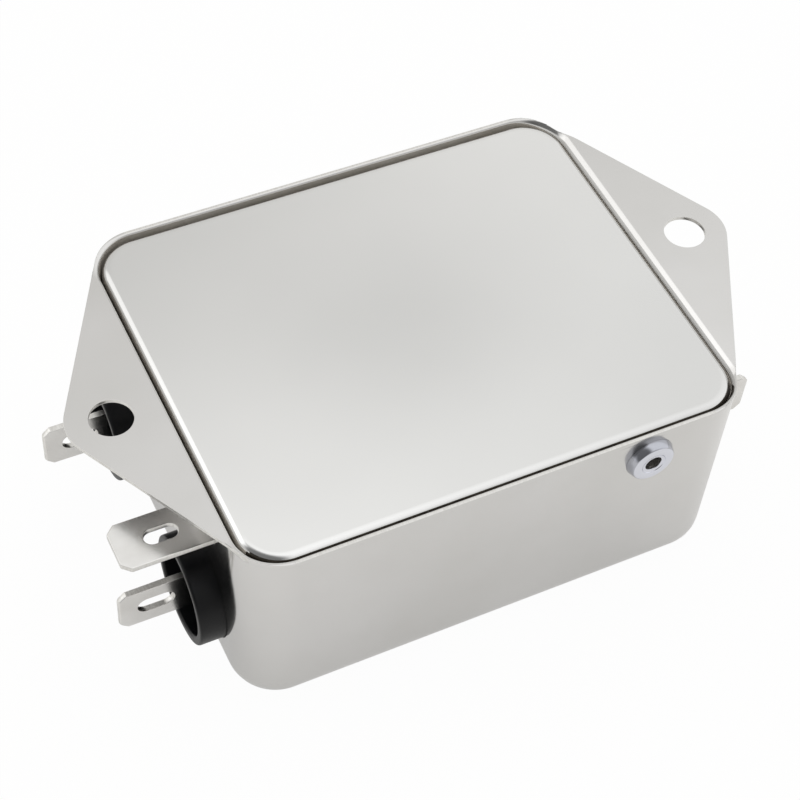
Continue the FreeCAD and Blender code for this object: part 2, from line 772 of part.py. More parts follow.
def makeBoard():
    body = newBody("circuit_board")
    outline = newSketch(body, "XY", mm.boardTop)
    drawRoundedRectangle(outline, boardEnd * 2, boardSide * 2, mm.boardCorner)
    addPad(body, outline, mm.boardThickness, backwards=True)
    holes = newSketch(body, "XY", mm.boardTop)
    for x, y, diameter in boardLeads():
        drawCircle(holes, x, y, diameter + mm.leadClearance * 2)
    clear = mm.leadClearance
    for end in (-1, 1):
        middle = (halfLength + tailEnd + mm.prongWidth / 2) * end
        reach = mm.prongWidth / 2 + clear
        for y in (-tabY, tabY):
            half = mm.tabThickness / 2 + clear
            drawRectangle(holes, middle - reach, y - half, middle + reach, y + half)
    drawRectangle(holes, -legNear - clear, legFront - clear,
                  mm.tabThickness - legNear + clear, legFront + mm.earthLegWidth + clear)
    addPocket(body, holes, mm.boardThickness)
    parts.append(body)


# The choke: a ferrite ring in a two-part case, wound in two halves, on a moulded base
def makeChokeBase():
    body = newBody("choke_base")
    outline = newSketch(body, "XY", mm.boardTop)
    drawRoundedRectangle(outline, mm.chokeBaseSide, mm.chokeBaseSide, mm.chokeBaseCorner)
    for x, y, diameter in windingLeads():
        drawCircle(outline, x, y, diameter + mm.leadClearance * 2)
    addPad(body, outline, mm.chokeBaseThickness)
    parts.append(body)


def makeRing(label, corners, chamfer=None):
    body = newBody(label)
    section = newSketch(body, "XZ")
    drawPolygon(section, corners)
    addRevolution(body, section, axis="V_Axis")
    if chamfer is not None:
        addChamfer(body, lambda edge: near(edge.BoundBox.ZMax, edge.BoundBox.ZMin), chamfer)
    parts.append(body)


def makeChokeCore():
    bore = mm.coreBore / 2
    outer = mm.coreDiameter / 2
    bottom = cupBottom + mm.cupEnd
    top = bottom + mm.coreHeight
    makeRing("choke_core", [(bore, bottom), (outer, bottom), (outer, top), (bore, top)],
             mm.coreChamfer)
    floor = cupBottom + mm.cupEnd
    wallFace = cupOuter - mm.cupWall
    boreFace = cupBore + mm.cupWall
    makeRing("choke_cup", [
        (cupBore, cupBottom), (cupOuter, cupBottom), (cupOuter, capBottom),
        (wallFace, capBottom), (wallFace, floor), (boreFace, floor),
        (boreFace, capBottom), (cupBore, capBottom)])
    makeRing("choke_cap", [(cupBore, capBottom), (cupOuter, capBottom),
                           (cupOuter, capTop), (cupBore, capTop)])


# The wire's middle line: up outside, over, down the bore and across below to the next turn
def windingPath(middle):
    low = chokeFoot + wireOffset
    high = capTop + wireOffset
    end = mm.boardTop - leadReach

    def point(radius, turn, height):
        x, y = polar(radius, mm.turnAngle * turn - halfWinding + middle)
        return Vector(x.value, y.value, height.value)

    turns = round(mm.windingTurns.value)
    points = [point(wireOuter, 0, end)]
    for turn in range(turns):
        points.append(point(wireOuter, turn, high))
        points.append(point(wireInner, turn, high))
        points.append(point(wireInner, turn, low))
        points.append(point(wireOuter, turn + 1, low))
    points.append(point(wireOuter, turns, end))
    return points


def makeWinding(middle, label):
    points = windingPath(middle)
    path = Part.makePolygon(points)
    wire = Part.makeCircle(mm.wireDiameter.value / 2, points[0], alongZ)
    winding = doc.addObject("Part::Feature", label)
    winding.Shape = path.makePipeShell([Part.Wire(wire)], True, False, 1)
    parts.append(winding)


# The insulating plate between the windings: a bar on the cap and a blade through the bore
def makeDivider():
    body = newBody("choke_divider")
    blade = cupBore - mm.dividerClearance
    outline = newSketch(body, "XZ")
    drawPolygon(outline, [
        (-blade, chokeFoot), (blade, chokeFoot), (blade, capTop), (cupOuter, capTop),
        (cupOuter, capTop + mm.dividerBar), (-cupOuter, capTop + mm.dividerBar),
        (-cupOuter, capTop), (-blade, capTop)])
    addPad(body, outline, mm.dividerThickness, side="Symmetric")
    parts.append(body)


def makeFilmCapacitor(end, label):
    body = newBody(label)
    outline = newSketch(body, "XY")
    halfCap = mm.filmCapWidth / 2
    drawRectangle(outline, -halfCap, -mm.filmCapLength / 2, halfCap, mm.filmCapLength / 2)
    addPad(body, outline, mm.filmCapHeight)
    addFillet(body, lambda edge: edge.BoundBox.ZMax > 0.001, mm.filmCapEdge)
    pins = newSketch(body, "XY")
    for y in (-mm.filmCapPitch / 2, mm.filmCapPitch / 2):
        drawCircle(pins, 0, y, mm.pinDiameter)
    addPad(body, pins, leadReach, backwards=True)
    place(body, filmCapX * end, 0, mm.boardTop)
    parts.append(body)


def makeDiscCapacitor(side, label):
    body = newBody(label)
    middle = mm.discStandOff + mm.discDiameter / 2
    disc = newSketch(body, "XZ")
    drawCircle(disc, 0, middle, mm.discDiameter)
    addPad(body, disc, mm.discThickness, side="Symmetric")
    addFillet(body, lambda edge: near(edge.BoundBox.YMax, edge.BoundBox.YMin), mm.discEdge)
    leads = newSketch(body, "XY", -leadReach)
    for x in (-mm.discPitch / 2, mm.discPitch / 2):
        drawCircle(leads, x, 0, mm.discLead)
    addPad(body, leads, leadReach + middle)
    place(body, 0, discY * side, mm.boardTop)
    parts.append(body)


def makeBleedResistor():
    body = newBody("bleed_resistor")
    halfBody = mm.resistorLength / 2
    waistEnd = halfBody - mm.resistorCapLength
    radius = mm.resistorDiameter / 2
    waist = mm.resistorWaist / 2
    section = newSketch(body, "XZ")
    drawPolygon(section, [
        (-halfBody, 0), (halfBody, 0), (halfBody, radius), (waistEnd, radius), (waistEnd, waist),
        (-waistEnd, waist), (-waistEnd, radius), (-halfBody, radius)])
    addRevolution(body, section)
    addFillet(body, lambda edge: near(edge.BoundBox.ZMax, radius)
              and near(edge.BoundBox.XMax, edge.BoundBox.XMin), mm.resistorRound)
    bottom = -radius - leadReach
    path = newSketch(body, "XZ")
    drawStaple(path, mm.resistorLeadPitch / 2, bottom, mm.resistorBend)
    wire = newSketch(body, "XY", bottom)
    drawCircle(wire, -mm.resistorLeadPitch / 2, 0, mm.discLead)
    lead = body.newObject("PartDesign::AdditivePipe", "bleed_resistor_lead")
    lead.Profile = wire
    lead.Spine = (path, [])
    place(body, resistorX, discY, mm.boardTop + radius)
    parts.append(body)


makeCase()
makeCover()
makeCoverInsulator()
makeBaseInsulator()
for side, name in ((1, "front"), (-1, "back")):
    makeRivet(side, name)
for end, endName in ((-1, "line"), (1, "load")):
    for side, sideName in ((-1, "front"), (1, "back")):
        makeBushing(end, side, f"{endName}_bushing_{sideName}")
        makeTab(end, side, f"{endName}_tab_{sideName}")
    makeFilmCapacitor(end, endName + "_x_capacitor")
makeEarthTab()
makeBoard()
makeChokeBase()
makeChokeCore()
makeWinding(-90, "choke_winding_line")
makeWinding(90, "choke_winding_neutral")
makeDivider()
for side, name in ((-1, "front"), (1, "back")):
    makeDiscCapacitor(side, "y_capacitor_" + name)
makeBleedResistor()

doc.recompute()
for thing in doc.Objects:
    if "Invalid" in thing.State or "Error" in thing.State:
        raise ValueError(f"{thing.Label} did not build: {thing.State}")
for part in parts:
    if part.Shape.isNull() or not part.Shape.isValid() or len(part.Shape.Solids) != 1:
        raise ValueError(f"{part.Label} is not one sound solid")
for part in parts:
    part.Shape.exportStep(f"parts/{part.Label}.step")
    box = part.Shape.BoundBox
    print(f"{part.Label:24} {part.Shape.Volume:9.2f}  x {box.XMin:7.2f} {box.XMax:7.2f}"
          f"  y {box.YMin:7.2f} {box.YMax:7.2f}  z {box.ZMin:6.2f} {box.ZMax:6.2f}")
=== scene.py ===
import math

import bmesh
import bpy
from mathutils import Matrix, Vector


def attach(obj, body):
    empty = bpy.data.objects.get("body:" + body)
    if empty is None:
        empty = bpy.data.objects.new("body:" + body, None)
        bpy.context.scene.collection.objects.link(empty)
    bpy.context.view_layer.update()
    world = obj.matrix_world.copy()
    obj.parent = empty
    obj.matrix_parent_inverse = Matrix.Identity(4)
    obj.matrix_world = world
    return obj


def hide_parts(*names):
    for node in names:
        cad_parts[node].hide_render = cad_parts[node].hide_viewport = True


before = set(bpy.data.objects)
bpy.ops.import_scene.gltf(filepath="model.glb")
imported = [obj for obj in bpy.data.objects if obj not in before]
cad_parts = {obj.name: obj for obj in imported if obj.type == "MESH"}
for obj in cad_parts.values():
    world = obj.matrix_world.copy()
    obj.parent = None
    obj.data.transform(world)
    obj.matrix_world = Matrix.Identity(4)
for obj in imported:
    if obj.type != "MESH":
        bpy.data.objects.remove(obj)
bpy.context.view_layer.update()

mm = 0.001  # everything below is given in millimetres and built in metres
tiny = 1e-6  # how close two places are to count as the same, in metres
slant = 1e-4  # how far from 1 the cosine of two parallel directions may be

print("camera, lamps and backdrop")

studio = {
    "cameraPlace": (-76.209, -130.556, 204.556),
    "cameraTurn": (38.2857, -3.5748, -25.5637),  # degrees, XYZ
    "cameraLens": 88.353,
    "cameraNear": 10,
    "floorSize": 3000,
    "floorDrop": 0.02,  # so the part's underside and the paper don't share one plane
    "floorColour": "F5F3EE",
    "floorGlow": 0.97,  # share of the floor that is plain white, so a soft shadow stays
    "floorGlowInMetal": 0.45,
    "roomLight": 0.38,
    "lamps": {  # place, size, watts, whether metal reflects it
        "backSoftbox": ((-430, 330, 290), 460, 0.3, True),
        "overheadSoftbox": ((30, 120, 480), 420, 1.45, False),
    },
    # how bright the room looks in metal, from its front over the overhead softbox to the
    # back wall: 0 is straight ahead of the part, 0.5 overhead and 1 behind it
    "roomInMetal": [(0.04, "B4B3B2"), (0.2, "F4F4F4"), (0.45, "FFFFFF"), (0.7, "F6F6F5"),
                    (0.745, "EFEFEE"), (0.83, "DAD9D7"), (1.0, "D8D7D4")],
    "roomGain": 1.16,
    "darkSide": (-0.66, -0.42, 0.62),  # towards the unlit corner of the room
    "darkSideTone": (0.02, 0.02, 0.02, 1),
    "darkSideDepth": 0.84,
    "darkSideSpread": (0.62, 0.88),  # cosines between which it fades in
}


def toLinear(hexColour):
    channels = [int(hexColour[i:i + 2], 16) / 255 for i in (0, 2, 4)]
    return [c / 12.92 if c <= 0.04045 else ((c + 0.055) / 1.055) ** 2.4 for c in channels] + [1]


# Adds one node. An input is a plain value, or the socket that feeds it
def addNode(tree, kind, inputs, **settings):
    node = tree.nodes.new(kind)
    for name, value in settings.items():
        setattr(node, name, value)
    for name, value in inputs.items():
        if isinstance(value, bpy.types.NodeSocket):
            tree.links.new(value, node.inputs[name])
        else:
            node.inputs[name].default_value = value
    return node


def setRamp(ramp, stops):
    elements = ramp.color_ramp.elements
    elements[0].position, elements[1].position = stops[0][0], stops[-1][0]
    elements[0].color, elements[1].color = toLinear(stops[0][1]), toLinear(stops[-1][1])
    for position, colour in stops[1:-1]:
        elements.new(position).color = toLinear(colour)


def makeCamera():
    bpy.ops.object.camera_add(location=[c * mm for c in studio["cameraPlace"]],
                              rotation=[math.radians(a) for a in studio["cameraTurn"]])
    camera = bpy.context.object
    camera.data.lens = studio["cameraLens"]
    camera.data.clip_start = studio["cameraNear"] * mm
    bpy.context.scene.camera = camera


def makeLamps():
    for name, (place, size, watts, inMetal) in studio["lamps"].items():
        place = Vector(place) * mm
        bpy.ops.object.light_add(type="AREA", location=place)
        lamp = bpy.context.object
        lamp.name = name
        lamp.rotation_euler = (-place).to_track_quat("-Z", "Y").to_euler()
        lamp.data.size = size * mm
        lamp.data.energy = watts
        lamp.visible_glossy = inMetal


def makeRoom():
    world = bpy.data.worlds.new("studioRoom")
    bpy.context.scene.world = world
    world.use_nodes = True
    tree = world.node_tree
    tree.nodes.clear()
    ray = addNode(tree, "ShaderNodeLightPath", {})
    place = addNode(tree, "ShaderNodeTexCoord", {})
    towards = addNode(tree, "ShaderNodeSeparateXYZ", {"Vector": place.outputs["Generated"]})
    depth = addNode(tree, "ShaderNodeMapRange", {
        "Value": towards.outputs["Y"], "From Min": -1, "From Max": 1})
    softbox = addNode(tree, "ShaderNodeValToRGB", {"Fac": depth.outputs[0]})
    setRamp(softbox, studio["roomInMetal"])
    inMetal = addNode(tree, "ShaderNodeVectorMath", {
        0: softbox.outputs["Color"], "Scale": studio["roomGain"]}, operation="SCALE")
    toDark = addNode(tree, "ShaderNodeVectorMath", {
        0: place.outputs["Generated"], 1: studio["darkSide"]}, operation="DOT_PRODUCT")
    low, high = studio["darkSideSpread"]
    dark = addNode(tree, "ShaderNodeMapRange", {
        "Value": toDark.outputs["Value"], "From Min": low, "From Max": high,
        "To Min": 0, "To Max": studio["darkSideDepth"]}, interpolation_type="SMOOTHSTEP")
    inMetal = addNode(tree, "ShaderNodeMix", {
        "Factor": dark.outputs[0], 6: inMetal.outputs[0], 7: studio["darkSideTone"]},
        data_type="RGBA")
    light = [studio["roomLight"]] * 3 + [1]
    glossy = addNode(tree, "ShaderNodeMix", {
        "Factor": ray.outputs["Is Glossy Ray"], 6: light, 7: inMetal.outputs[2]},
        data_type="RGBA")
    through = addNode(tree, "ShaderNodeMath", {
        0: ray.outputs["Is Camera Ray"], 1: ray.outputs["Is Transmission Ray"]},
        operation="MAXIMUM")
    seen = addNode(tree, "ShaderNodeMix", {
        "Factor": through.outputs[0], 6: glossy.outputs[2], 7: (1, 1, 1, 1)}, data_type="RGBA")
    sky = addNode(tree, "ShaderNodeBackground", {"Color": seen.outputs[2]})
    addNode(tree, "ShaderNodeOutputWorld", {"Surface": sky.outputs[0]})


def makeFloor():
    bpy.ops.mesh.primitive_plane_add(size=studio["floorSize"] * mm,
                                     location=(0, 0, -studio["floorDrop"] * mm))
    floor = bpy.context.object
    floor.name = "studioFloor"
    paper = bpy.data.materials.new("matteWhitePaper")
    paper.use_nodes = True
    tree = paper.node_tree
    tree.nodes.clear()
    ray = addNode(tree, "ShaderNodeLightPath", {})
    direct = addNode(tree, "ShaderNodeMath", {
        0: ray.outputs["Is Camera Ray"], 1: ray.outputs["Is Transmission Ray"]},
        operation="MAXIMUM")
    seen = addNode(tree, "ShaderNodeMath", {0: direct.outputs[0], 1: studio["floorGlow"]},
                   operation="MULTIPLY")
    inMetal = addNode(tree, "ShaderNodeMath", {
        0: ray.outputs["Is Glossy Ray"], 1: studio["floorGlowInMetal"]}, operation="MULTIPLY")
    share = addNode(tree, "ShaderNodeMath", {0: seen.outputs[0], 1: inMetal.outputs[0]},
                    operation="MAXIMUM")
    matte = addNode(tree, "ShaderNodeBsdfDiffuse", {"Color": toLinear(studio["floorColour"])})
    glow = addNode(tree, "ShaderNodeEmission", {"Color": (1, 1, 1, 1)})
    mixed = addNode(tree, "ShaderNodeMixShader", {
        "Fac": share.outputs[0], 1: matte.outputs[0], 2: glow.outputs[0]})
    addNode(tree, "ShaderNodeOutputMaterial", {"Surface": mixed.outputs[0]})
    floor.data.materials.append(paper)


bpy.context.scene.view_settings.view_transform = "Standard"
makeCamera()
makeLamps()
makeRoom()
makeFloor()

print("materials")


# A material with its Principled shader and an Object coordinate socket to build on
def newFinish(name, **values):
    material = bpy.data.materials.new(name)
    material.use_nodes = True
    tree = material.node_tree
    shader = tree.nodes["Principled BSDF"]
    for socket, value in values.items():
        shader.inputs[socket.replace("_", " ")].default_value = value
    place = tree.nodes.new("ShaderNodeTexCoord").outputs["Object"]
    return material, tree, shader, place


def addNoise(tree, place, scale, detail):
    return addNode(tree, "ShaderNodeTexNoise", {
        "Vector": place, "Scale": scale, "Detail": detail}).outputs["Fac"]


def stretch(tree, place, scale):
    return addNode(tree, "ShaderNodeMapping", {"Vector": place, "Scale": scale}).outputs[0]


# The base colour runs through the stops as the pattern rises
def colourBy(tree, shader, pattern, stops):
    tone = addNode(tree, "ShaderNodeValToRGB", {"Fac": pattern})
    setRamp(tone, stops)
    tree.links.new(tone.outputs["Color"], shader.inputs["Base Color"])


def roughenBy(tree, shader, pattern, low, high):
    rough = addNode(tree, "ShaderNodeMapRange", {
        "Value": pattern, "To Min": low, "To Max": high})
    tree.links.new(rough.outputs[0], shader.inputs["Roughness"])


# Relief of a depth in millimetres, on top of any relief that the shader already has
def raiseBy(tree, shader, pattern, depth, strength):
    inputs = {"Height": pattern, "Distance": depth * mm, "Strength": strength}
    for link in shader.inputs["Normal"].links:
        inputs["Normal"] = link.from_socket
    relief = addNode(tree, "ShaderNodeBump", inputs)
    tree.links.new(relief.outputs[0], shader.inputs["Normal"])


# Bright nickel over drawn steel: clear blurred reflections, warm grey, faintly wavy, with
# very fine lines where the sheet slid over the die
def nickelOnDrawnSteel():
    material, tree, shader, place = newFinish("nickelOnDrawnSteel", Metallic=1.0)
    cloud = addNoise(tree, place, 60, 3)
    waves = addNoise(tree, place, 90, 1)
    dieLines = addNoise(tree, stretch(tree, place, (1, 1, 0.06)), 2600, 2)  # 0.4 mm apart
    colourBy(tree, shader, cloud, [(0.3, "D3D2D0"), (0.7, "DAD9D8")])
    roughenBy(tree, shader, dieLines, 0.11, 0.18)
    raiseBy(tree, shader, waves, 0.02, 0.5)
    raiseBy(tree, shader, dieLines, 0.004, 0.4)
    return material


# The can's inner face: the plating hardly throws in there, so it is dull and a little warm
def dullInnerPlate():
    material, tree, shader, place = newFinish("dullInnerPlate", Metallic=0.15)
    colourBy(tree, shader, addNoise(tree, place, 150, 3), [(0.3, "C6BFB4"), (0.7, "D9D3CA")])
    roughenBy(tree, shader, addNoise(tree, place, 4000, 2), 0.45, 0.6)
    return material


# Painted shade for the skirt's front, where it lies close against the wall in the narrow gap:
# dull and dark
def skirtGapShade():
    material, tree, shader, place = newFinish("skirtGapShade", Metallic=1.0, Roughness=0.4)
    colourBy(tree, shader, addNoise(tree, place, 900, 2), [(0.3, "3F3C38"), (0.7, "54504A")])
    return material


lid = {
    "middleReflectionScale": (45, 70, 0), "middleReflectionEdge": 1.3, "middleReflectionLift": 0.34,  # painted reflection: lighter away from its middle
    "cornerShadeEdge": 6e-4, "cornerShadeLift": (-0.28, 0.42),  # painted shade: darker towards two opposite corners
    "cloudScale": 45, "cloudShare": 0.3,
}


# Nickel over cold-rolled sheet: satin, so reflections melt into soft tones. Painted reflection
# tones in the base colour: darker in its middle and towards two opposite corners
def nickelOnRolledSheet():
    material, tree, shader, place = newFinish("nickelOnRolledSheet", Metallic=1.0)
    fromMiddle = addNode(tree, "ShaderNodeVectorMath", {
        0: stretch(tree, place, lid["middleReflectionScale"])}, operation="LENGTH")
    paintedMiddleReflection = addNode(tree, "ShaderNodeMapRange", {
        "Value": fromMiddle.outputs["Value"], "From Max": lid["middleReflectionEdge"],
        "To Max": lid["middleReflectionLift"]}, interpolation_type="SMOOTHSTEP")
    sides = addNode(tree, "ShaderNodeSeparateXYZ", {"Vector": place})
    product = addNode(tree, "ShaderNodeMath", {
        0: sides.outputs["X"], 1: sides.outputs["Y"]}, operation="MULTIPLY")
    low, high = lid["cornerShadeLift"]
    paintedCornerShade = addNode(tree, "ShaderNodeMapRange", {
        "Value": product.outputs[0], "From Min": -lid["cornerShadeEdge"],
        "From Max": lid["cornerShadeEdge"], "To Min": low, "To Max": high})
    shape = addNode(tree, "ShaderNodeMath", {
        0: paintedMiddleReflection.outputs[0], 1: paintedCornerShade.outputs[0]}, operation="ADD")
    level = addNode(tree, "ShaderNodeMath", {
        0: addNoise(tree, place, lid["cloudScale"], 2), 1: lid["cloudShare"],
        2: shape.outputs[0]}, operation="MULTIPLY_ADD")
    colourBy(tree, shader, level.outputs[0], [(0.0, "D2D2D1"), (1.0, "EDEDEC")])
    grain = addNoise(tree, place, 6000, 2)
    roughenBy(tree, shader, grain, 0.15, 0.2)
    raiseBy(tree, shader, grain, 0.003, 0.3)
    return material


# The sheet's sheared edge: thin plating, satin, over faint ridges across its thickness
def shearedSheetEdge():
    material, tree, shader, place = newFinish("shearedSheetEdge", Metallic=1.0, Roughness=0.3)
    ridges = addNoise(tree, stretch(tree, place, (1, 0.15, 0.15)), 7000, 3)  # 0.15 mm apart
    colourBy(tree, shader, ridges, [(0.3, "D3D1CD"), (0.6, "E4E3E0")])
    raiseBy(tree, shader, ridges, 0.003, 0.6)
    return material


# Bright-dipped aluminium: bluish white and clear, with faint marks from the heading tool
def brightAluminium(name, colour):
    material, tree, shader, place = newFinish(name, Metallic=1.0)
    shader.inputs["Base Color"].default_value = toLinear(colour)
    marks = addNoise(tree, place, 1800, 3)
    roughenBy(tree, shader, marks, 0.1, 0.22)
    raiseBy(tree, shader, marks, 0.006, 0.5)
    return material


# Phosphated steel wire, broken: dark grey, coarse at the break
def brokenSteelWire():
    material, tree, shader, place = newFinish("brokenSteelWire", Metallic=1.0, Roughness=0.42)
    crystals = addNode(tree, "ShaderNodeTexVoronoi", {"Vector": place, "Scale": 5000})
    colourBy(tree, shader, crystals.outputs["Distance"], [(0.1, "4C4B4B"), (0.6, "8E8C89")])
    raiseBy(tree, shader, crystals.outputs["Distance"], 0.05, 1.0)
    return material


# Nickel on stamped brass strip: light grey, soft mirror, with fine rolling lines along it
def nickelOnBrassStrip():
    material, tree, shader, place = newFinish("nickelOnBrassStrip", Metallic=1.0)
    colourBy(tree, shader, addNoise(tree, place, 220, 3), [(0.3, "DEDCD9"), (0.7, "EBEAE8")])
    lines = addNoise(tree, stretch(tree, place, (0.04, 1, 1)), 5000, 2)  # 0.2 mm apart
    roughenBy(tree, shader, lines, 0.16, 0.28)
    raiseBy(tree, shader, lines, 0.004, 0.5)
    return material


# Moulded black polyamide: near black, half gloss, a very fine skin
def mouldedBlackPolyamide():
    material, tree, shader, place = newFinish("mouldedBlackPolyamide", IOR=1.5,
                                              Specular_IOR_Level=0.25)
    colourBy(tree, shader, addNoise(tree, place, 350, 3), [(0.3, "08090C"), (0.7, "0D0E12")])
    grain = addNoise(tree, place, 5200, 2)
    roughenBy(tree, shader, grain, 0.28, 0.42)
    raiseBy(tree, shader, grain, 0.01, 0.4)
    return material


# A plain moulded, coated or painted finish for the parts inside: two tones in a fine
# pattern, with that pattern in the surface too
def insideFinish(name, dark, light, patternSize, relief, **values):
    material, tree, shader, place = newFinish(name, **values)
    pattern = addNoise(tree, place, 1 / (patternSize * mm), 3)
    colourBy(tree, shader, pattern, [(0.35, dark), (0.65, light)])
    raiseBy(tree, shader, pattern, relief, 0.5)
    return material


# Woven glass laminate: the cloth's threads show as a fine check under the resin
def wovenGlassLaminate():
    material, tree, shader, place = newFinish("wovenGlassLaminate", Roughness=0.3, IOR=1.55)
    warp, weft = [addNode(tree, "ShaderNodeTexWave", {"Vector": place, "Scale": 320},
                          bands_direction=axis).outputs["Fac"]
                  for axis in ("X", "Y")]  # threads 0.5 mm apart
    cloth = addNode(tree, "ShaderNodeMath", {0: warp, 1: weft}, operation="MULTIPLY")
    colourBy(tree, shader, cloth.outputs[0], [(0.2, "8E9A5A"), (0.8, "A7B274")])
    raiseBy(tree, shader, cloth.outputs[0], 0.02, 0.3)
    return material


casePlate = nickelOnDrawnSteel()
coverPlate = nickelOnRolledSheet()
sheared = shearedSheetEdge()
innerPlate = dullInnerPlate()
skirtFrontShade = skirtGapShade()
rivetAluminium = brightAluminium("brightAluminium", "DBDDE6")
flankPaintedReflection = brightAluminium("aluminiumWithPaintedDarkReflection", "B7B9C1")  # darker aluminium on the flank: a painted dark reflection
# the wire's own dark steel, also used as painted shade on the rivets' bore walls
mandrelSteelAndBoreShade = brokenSteelWire()
tabPlate = nickelOnBrassStrip()
bushingPlastic = mouldedBlackPolyamide()

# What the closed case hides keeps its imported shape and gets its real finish
insideFinishes = {
    "circuit_board": wovenGlassLaminate(),
    "base_insulator": insideFinish("vulcanisedFibre", "3F4446", "4B5052", 0.3, 0.01,
                                   Roughness=0.6),
    "cover_insulator": insideFinish("polyesterFilm", "D8D9D2", "E6E6E0", 2.0, 0.002,
                                    Roughness=0.2, IOR=1.6),
    "choke_core": insideFinish("sinteredFerrite", "2C2B2D", "3D3B3D", 0.25, 0.02,
                               Roughness=0.7),
    "choke_winding": insideFinish("enamelledCopper", "9A4A22", "B8602F", 0.8, 0.004,
                                  Metallic=1.0, Roughness=0.2, Coat_Weight=0.6),
    "choke": insideFinish("glassFilledPolyester", "E4E0D2", "EEEBE0", 0.4, 0.008,
                          Roughness=0.45),
    "_x_capacitor": insideFinish("mouldedCapacitorBox", "C9A22C", "D4AE38", 0.5, 0.01,
                                 Roughness=0.4),
    "y_capacitor": insideFinish("dippedBlueEpoxy", "1F5FA0", "2A6DB0", 1.5, 0.05,
                                Roughness=0.25),
    "bleed_resistor": insideFinish("resistorLacquer", "8FB6B4", "9CC2C0", 0.6, 0.02,
                                   Roughness=0.35),
}
for name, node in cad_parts.items():
    for part, finish in insideFinishes.items():
        if part in name:
            for slot in node.material_slots:
                slot.material = finish
            break

print("modelling helpers")

modelling = {
    "hullFlatness": 0.3, "sharpEdge": 40, "smoothEdge": 35,  # degrees
    "breakSteps": 2, "normalWeight": 80,
    "upright": 0.3, "level": 0.9, "flat": 0.6,  # limits of one part of a face's normal
}


# Starts a piece from the primitive just added, with its scale and turn in the mesh
def startPiece(name):
    piece = bpy.context.object
    piece.name = name
    piece.data.name = name
    bpy.ops.object.transform_apply(location=True, rotation=True, scale=True)
    return piece


def addBlock(name, low, high):
    bpy.ops.object.select_all(action="DESELECT")
    low, high = Vector(low) * mm, Vector(high) * mm
    bpy.ops.mesh.primitive_cube_add(size=1, location=(low + high) / 2, scale=high - low)
    return startPiece(name)


sidesOf = {"large": 96, "head": 72, "small": 48, "wire": 40}  # of a round bar, by its use


# A round bar along X, Y or Z, between two places on that axis
def addBar(name, axis, centre, start, end, radius, use):
    bpy.ops.object.select_all(action="DESELECT")
    turns = {"X": (0, math.pi / 2, 0), "Y": (math.pi / 2, 0, 0), "Z": (0, 0, 0)}
    place = list(centre)
    place.insert("XYZ".index(axis), (start + end) / 2)
    bpy.ops.mesh.primitive_cylinder_add(vertices=sidesOf[use], radius=radius * mm,
                                        depth=abs(end - start) * mm, rotation=turns[axis],
                                        location=[c * mm for c in place])
    return startPiece(name)


def activate(piece):
    bpy.ops.object.select_all(action="DESELECT")
    piece.select_set(True)
    bpy.context.view_layer.objects.active = piece


def openMesh(piece, kind):
    activate(piece)
    bpy.ops.object.mode_set(mode="EDIT")
    bpy.ops.mesh.select_mode(type=kind)
    bpy.ops.mesh.select_all(action="DESELECT")


def closeMesh():
    bpy.ops.object.mode_set(mode="OBJECT")


# Selects, in the open mesh, the faces, edges or points that a test picks by their place
def pick(piece, kind, test):
    mesh = bmesh.from_edit_mesh(piece.data)
    bpy.ops.mesh.select_mode(type=kind)
    bpy.ops.mesh.select_all(action="DESELECT")
    items = {"FACE": mesh.faces, "EDGE": mesh.edges, "VERT": mesh.verts}[kind]
    for item in items:
        item.select_set(bool(test(item)))
    mesh.select_flush_mode()
    bmesh.update_edit_mesh(piece.data)


def same(value, millimetres):
    return abs(value - millimetres * mm) < tiny


# True for an edge or face whose points all share one place on an axis, in millimetres
def liesAt(item, axis, millimetres):
    return all(same(point.co[axis], millimetres) for point in item.verts)


def runsAlong(edge, axis):
    start, end = edge.verts
    along = (end.co - start.co).normalized()
    return abs(along[axis]) > 1 - slant


def modify(piece, kind, **settings):
    activate(piece)
    modifier = piece.modifiers.new(kind.lower(), kind)
    for name, value in settings.items():
        setattr(modifier, name, value)
    bpy.ops.object.modifier_apply(modifier=modifier.name)


# Puts the points that lie nearly on a level exactly on it
def flatten(piece, level, reach=0.04):
    openMesh(piece, "VERT")
    pick(piece, "VERT", lambda point: abs(point.co.z - level * mm) < reach * mm)
    bpy.ops.transform.resize(value=(1, 1, 0), center_override=(0, 0, level * mm))
    closeMesh()


# Cuts a tool out of a piece, or keeps only what lies inside it
def cutWith(piece, tool, operation="DIFFERENCE"):
    modify(piece, "BOOLEAN", object=tool, operation=operation, solver="EXACT")
    bpy.data.objects.remove(tool, do_unlink=True)


def joinInto(piece, others):
    activate(piece)
    for other in others:
        other.select_set(True)
    bpy.ops.object.join()


# Draws the picked faces or edges out, or only doubles them where no way is given
def extrude(x=0, y=0, z=0):
    bpy.ops.mesh.extrude_region_move(
        TRANSFORM_OT_translate={"value": (x * mm, y * mm, z * mm)})


# Cuts off what lies beyond a plane through a point
def cropBeyond(piece, point, normal):
    openMesh(piece, "VERT")
    bpy.ops.mesh.select_all(action="SELECT")
    bpy.ops.mesh.bisect(plane_co=Vector(point) * mm, plane_no=normal, use_fill=True,
                        clear_outer=True, threshold=tiny)
    closeMesh()


# Makes one tool from bars: the hull round them all
def wrapBars(bars):
    tool = bars[0]
    joinInto(tool, bars[1:])
    openMesh(tool, "VERT")
    bpy.ops.mesh.select_all(action="SELECT")
    bpy.ops.mesh.convex_hull()
    bpy.ops.mesh.dissolve_limited(angle_limit=math.radians(modelling["hullFlatness"]))
    closeMesh()
    return tool
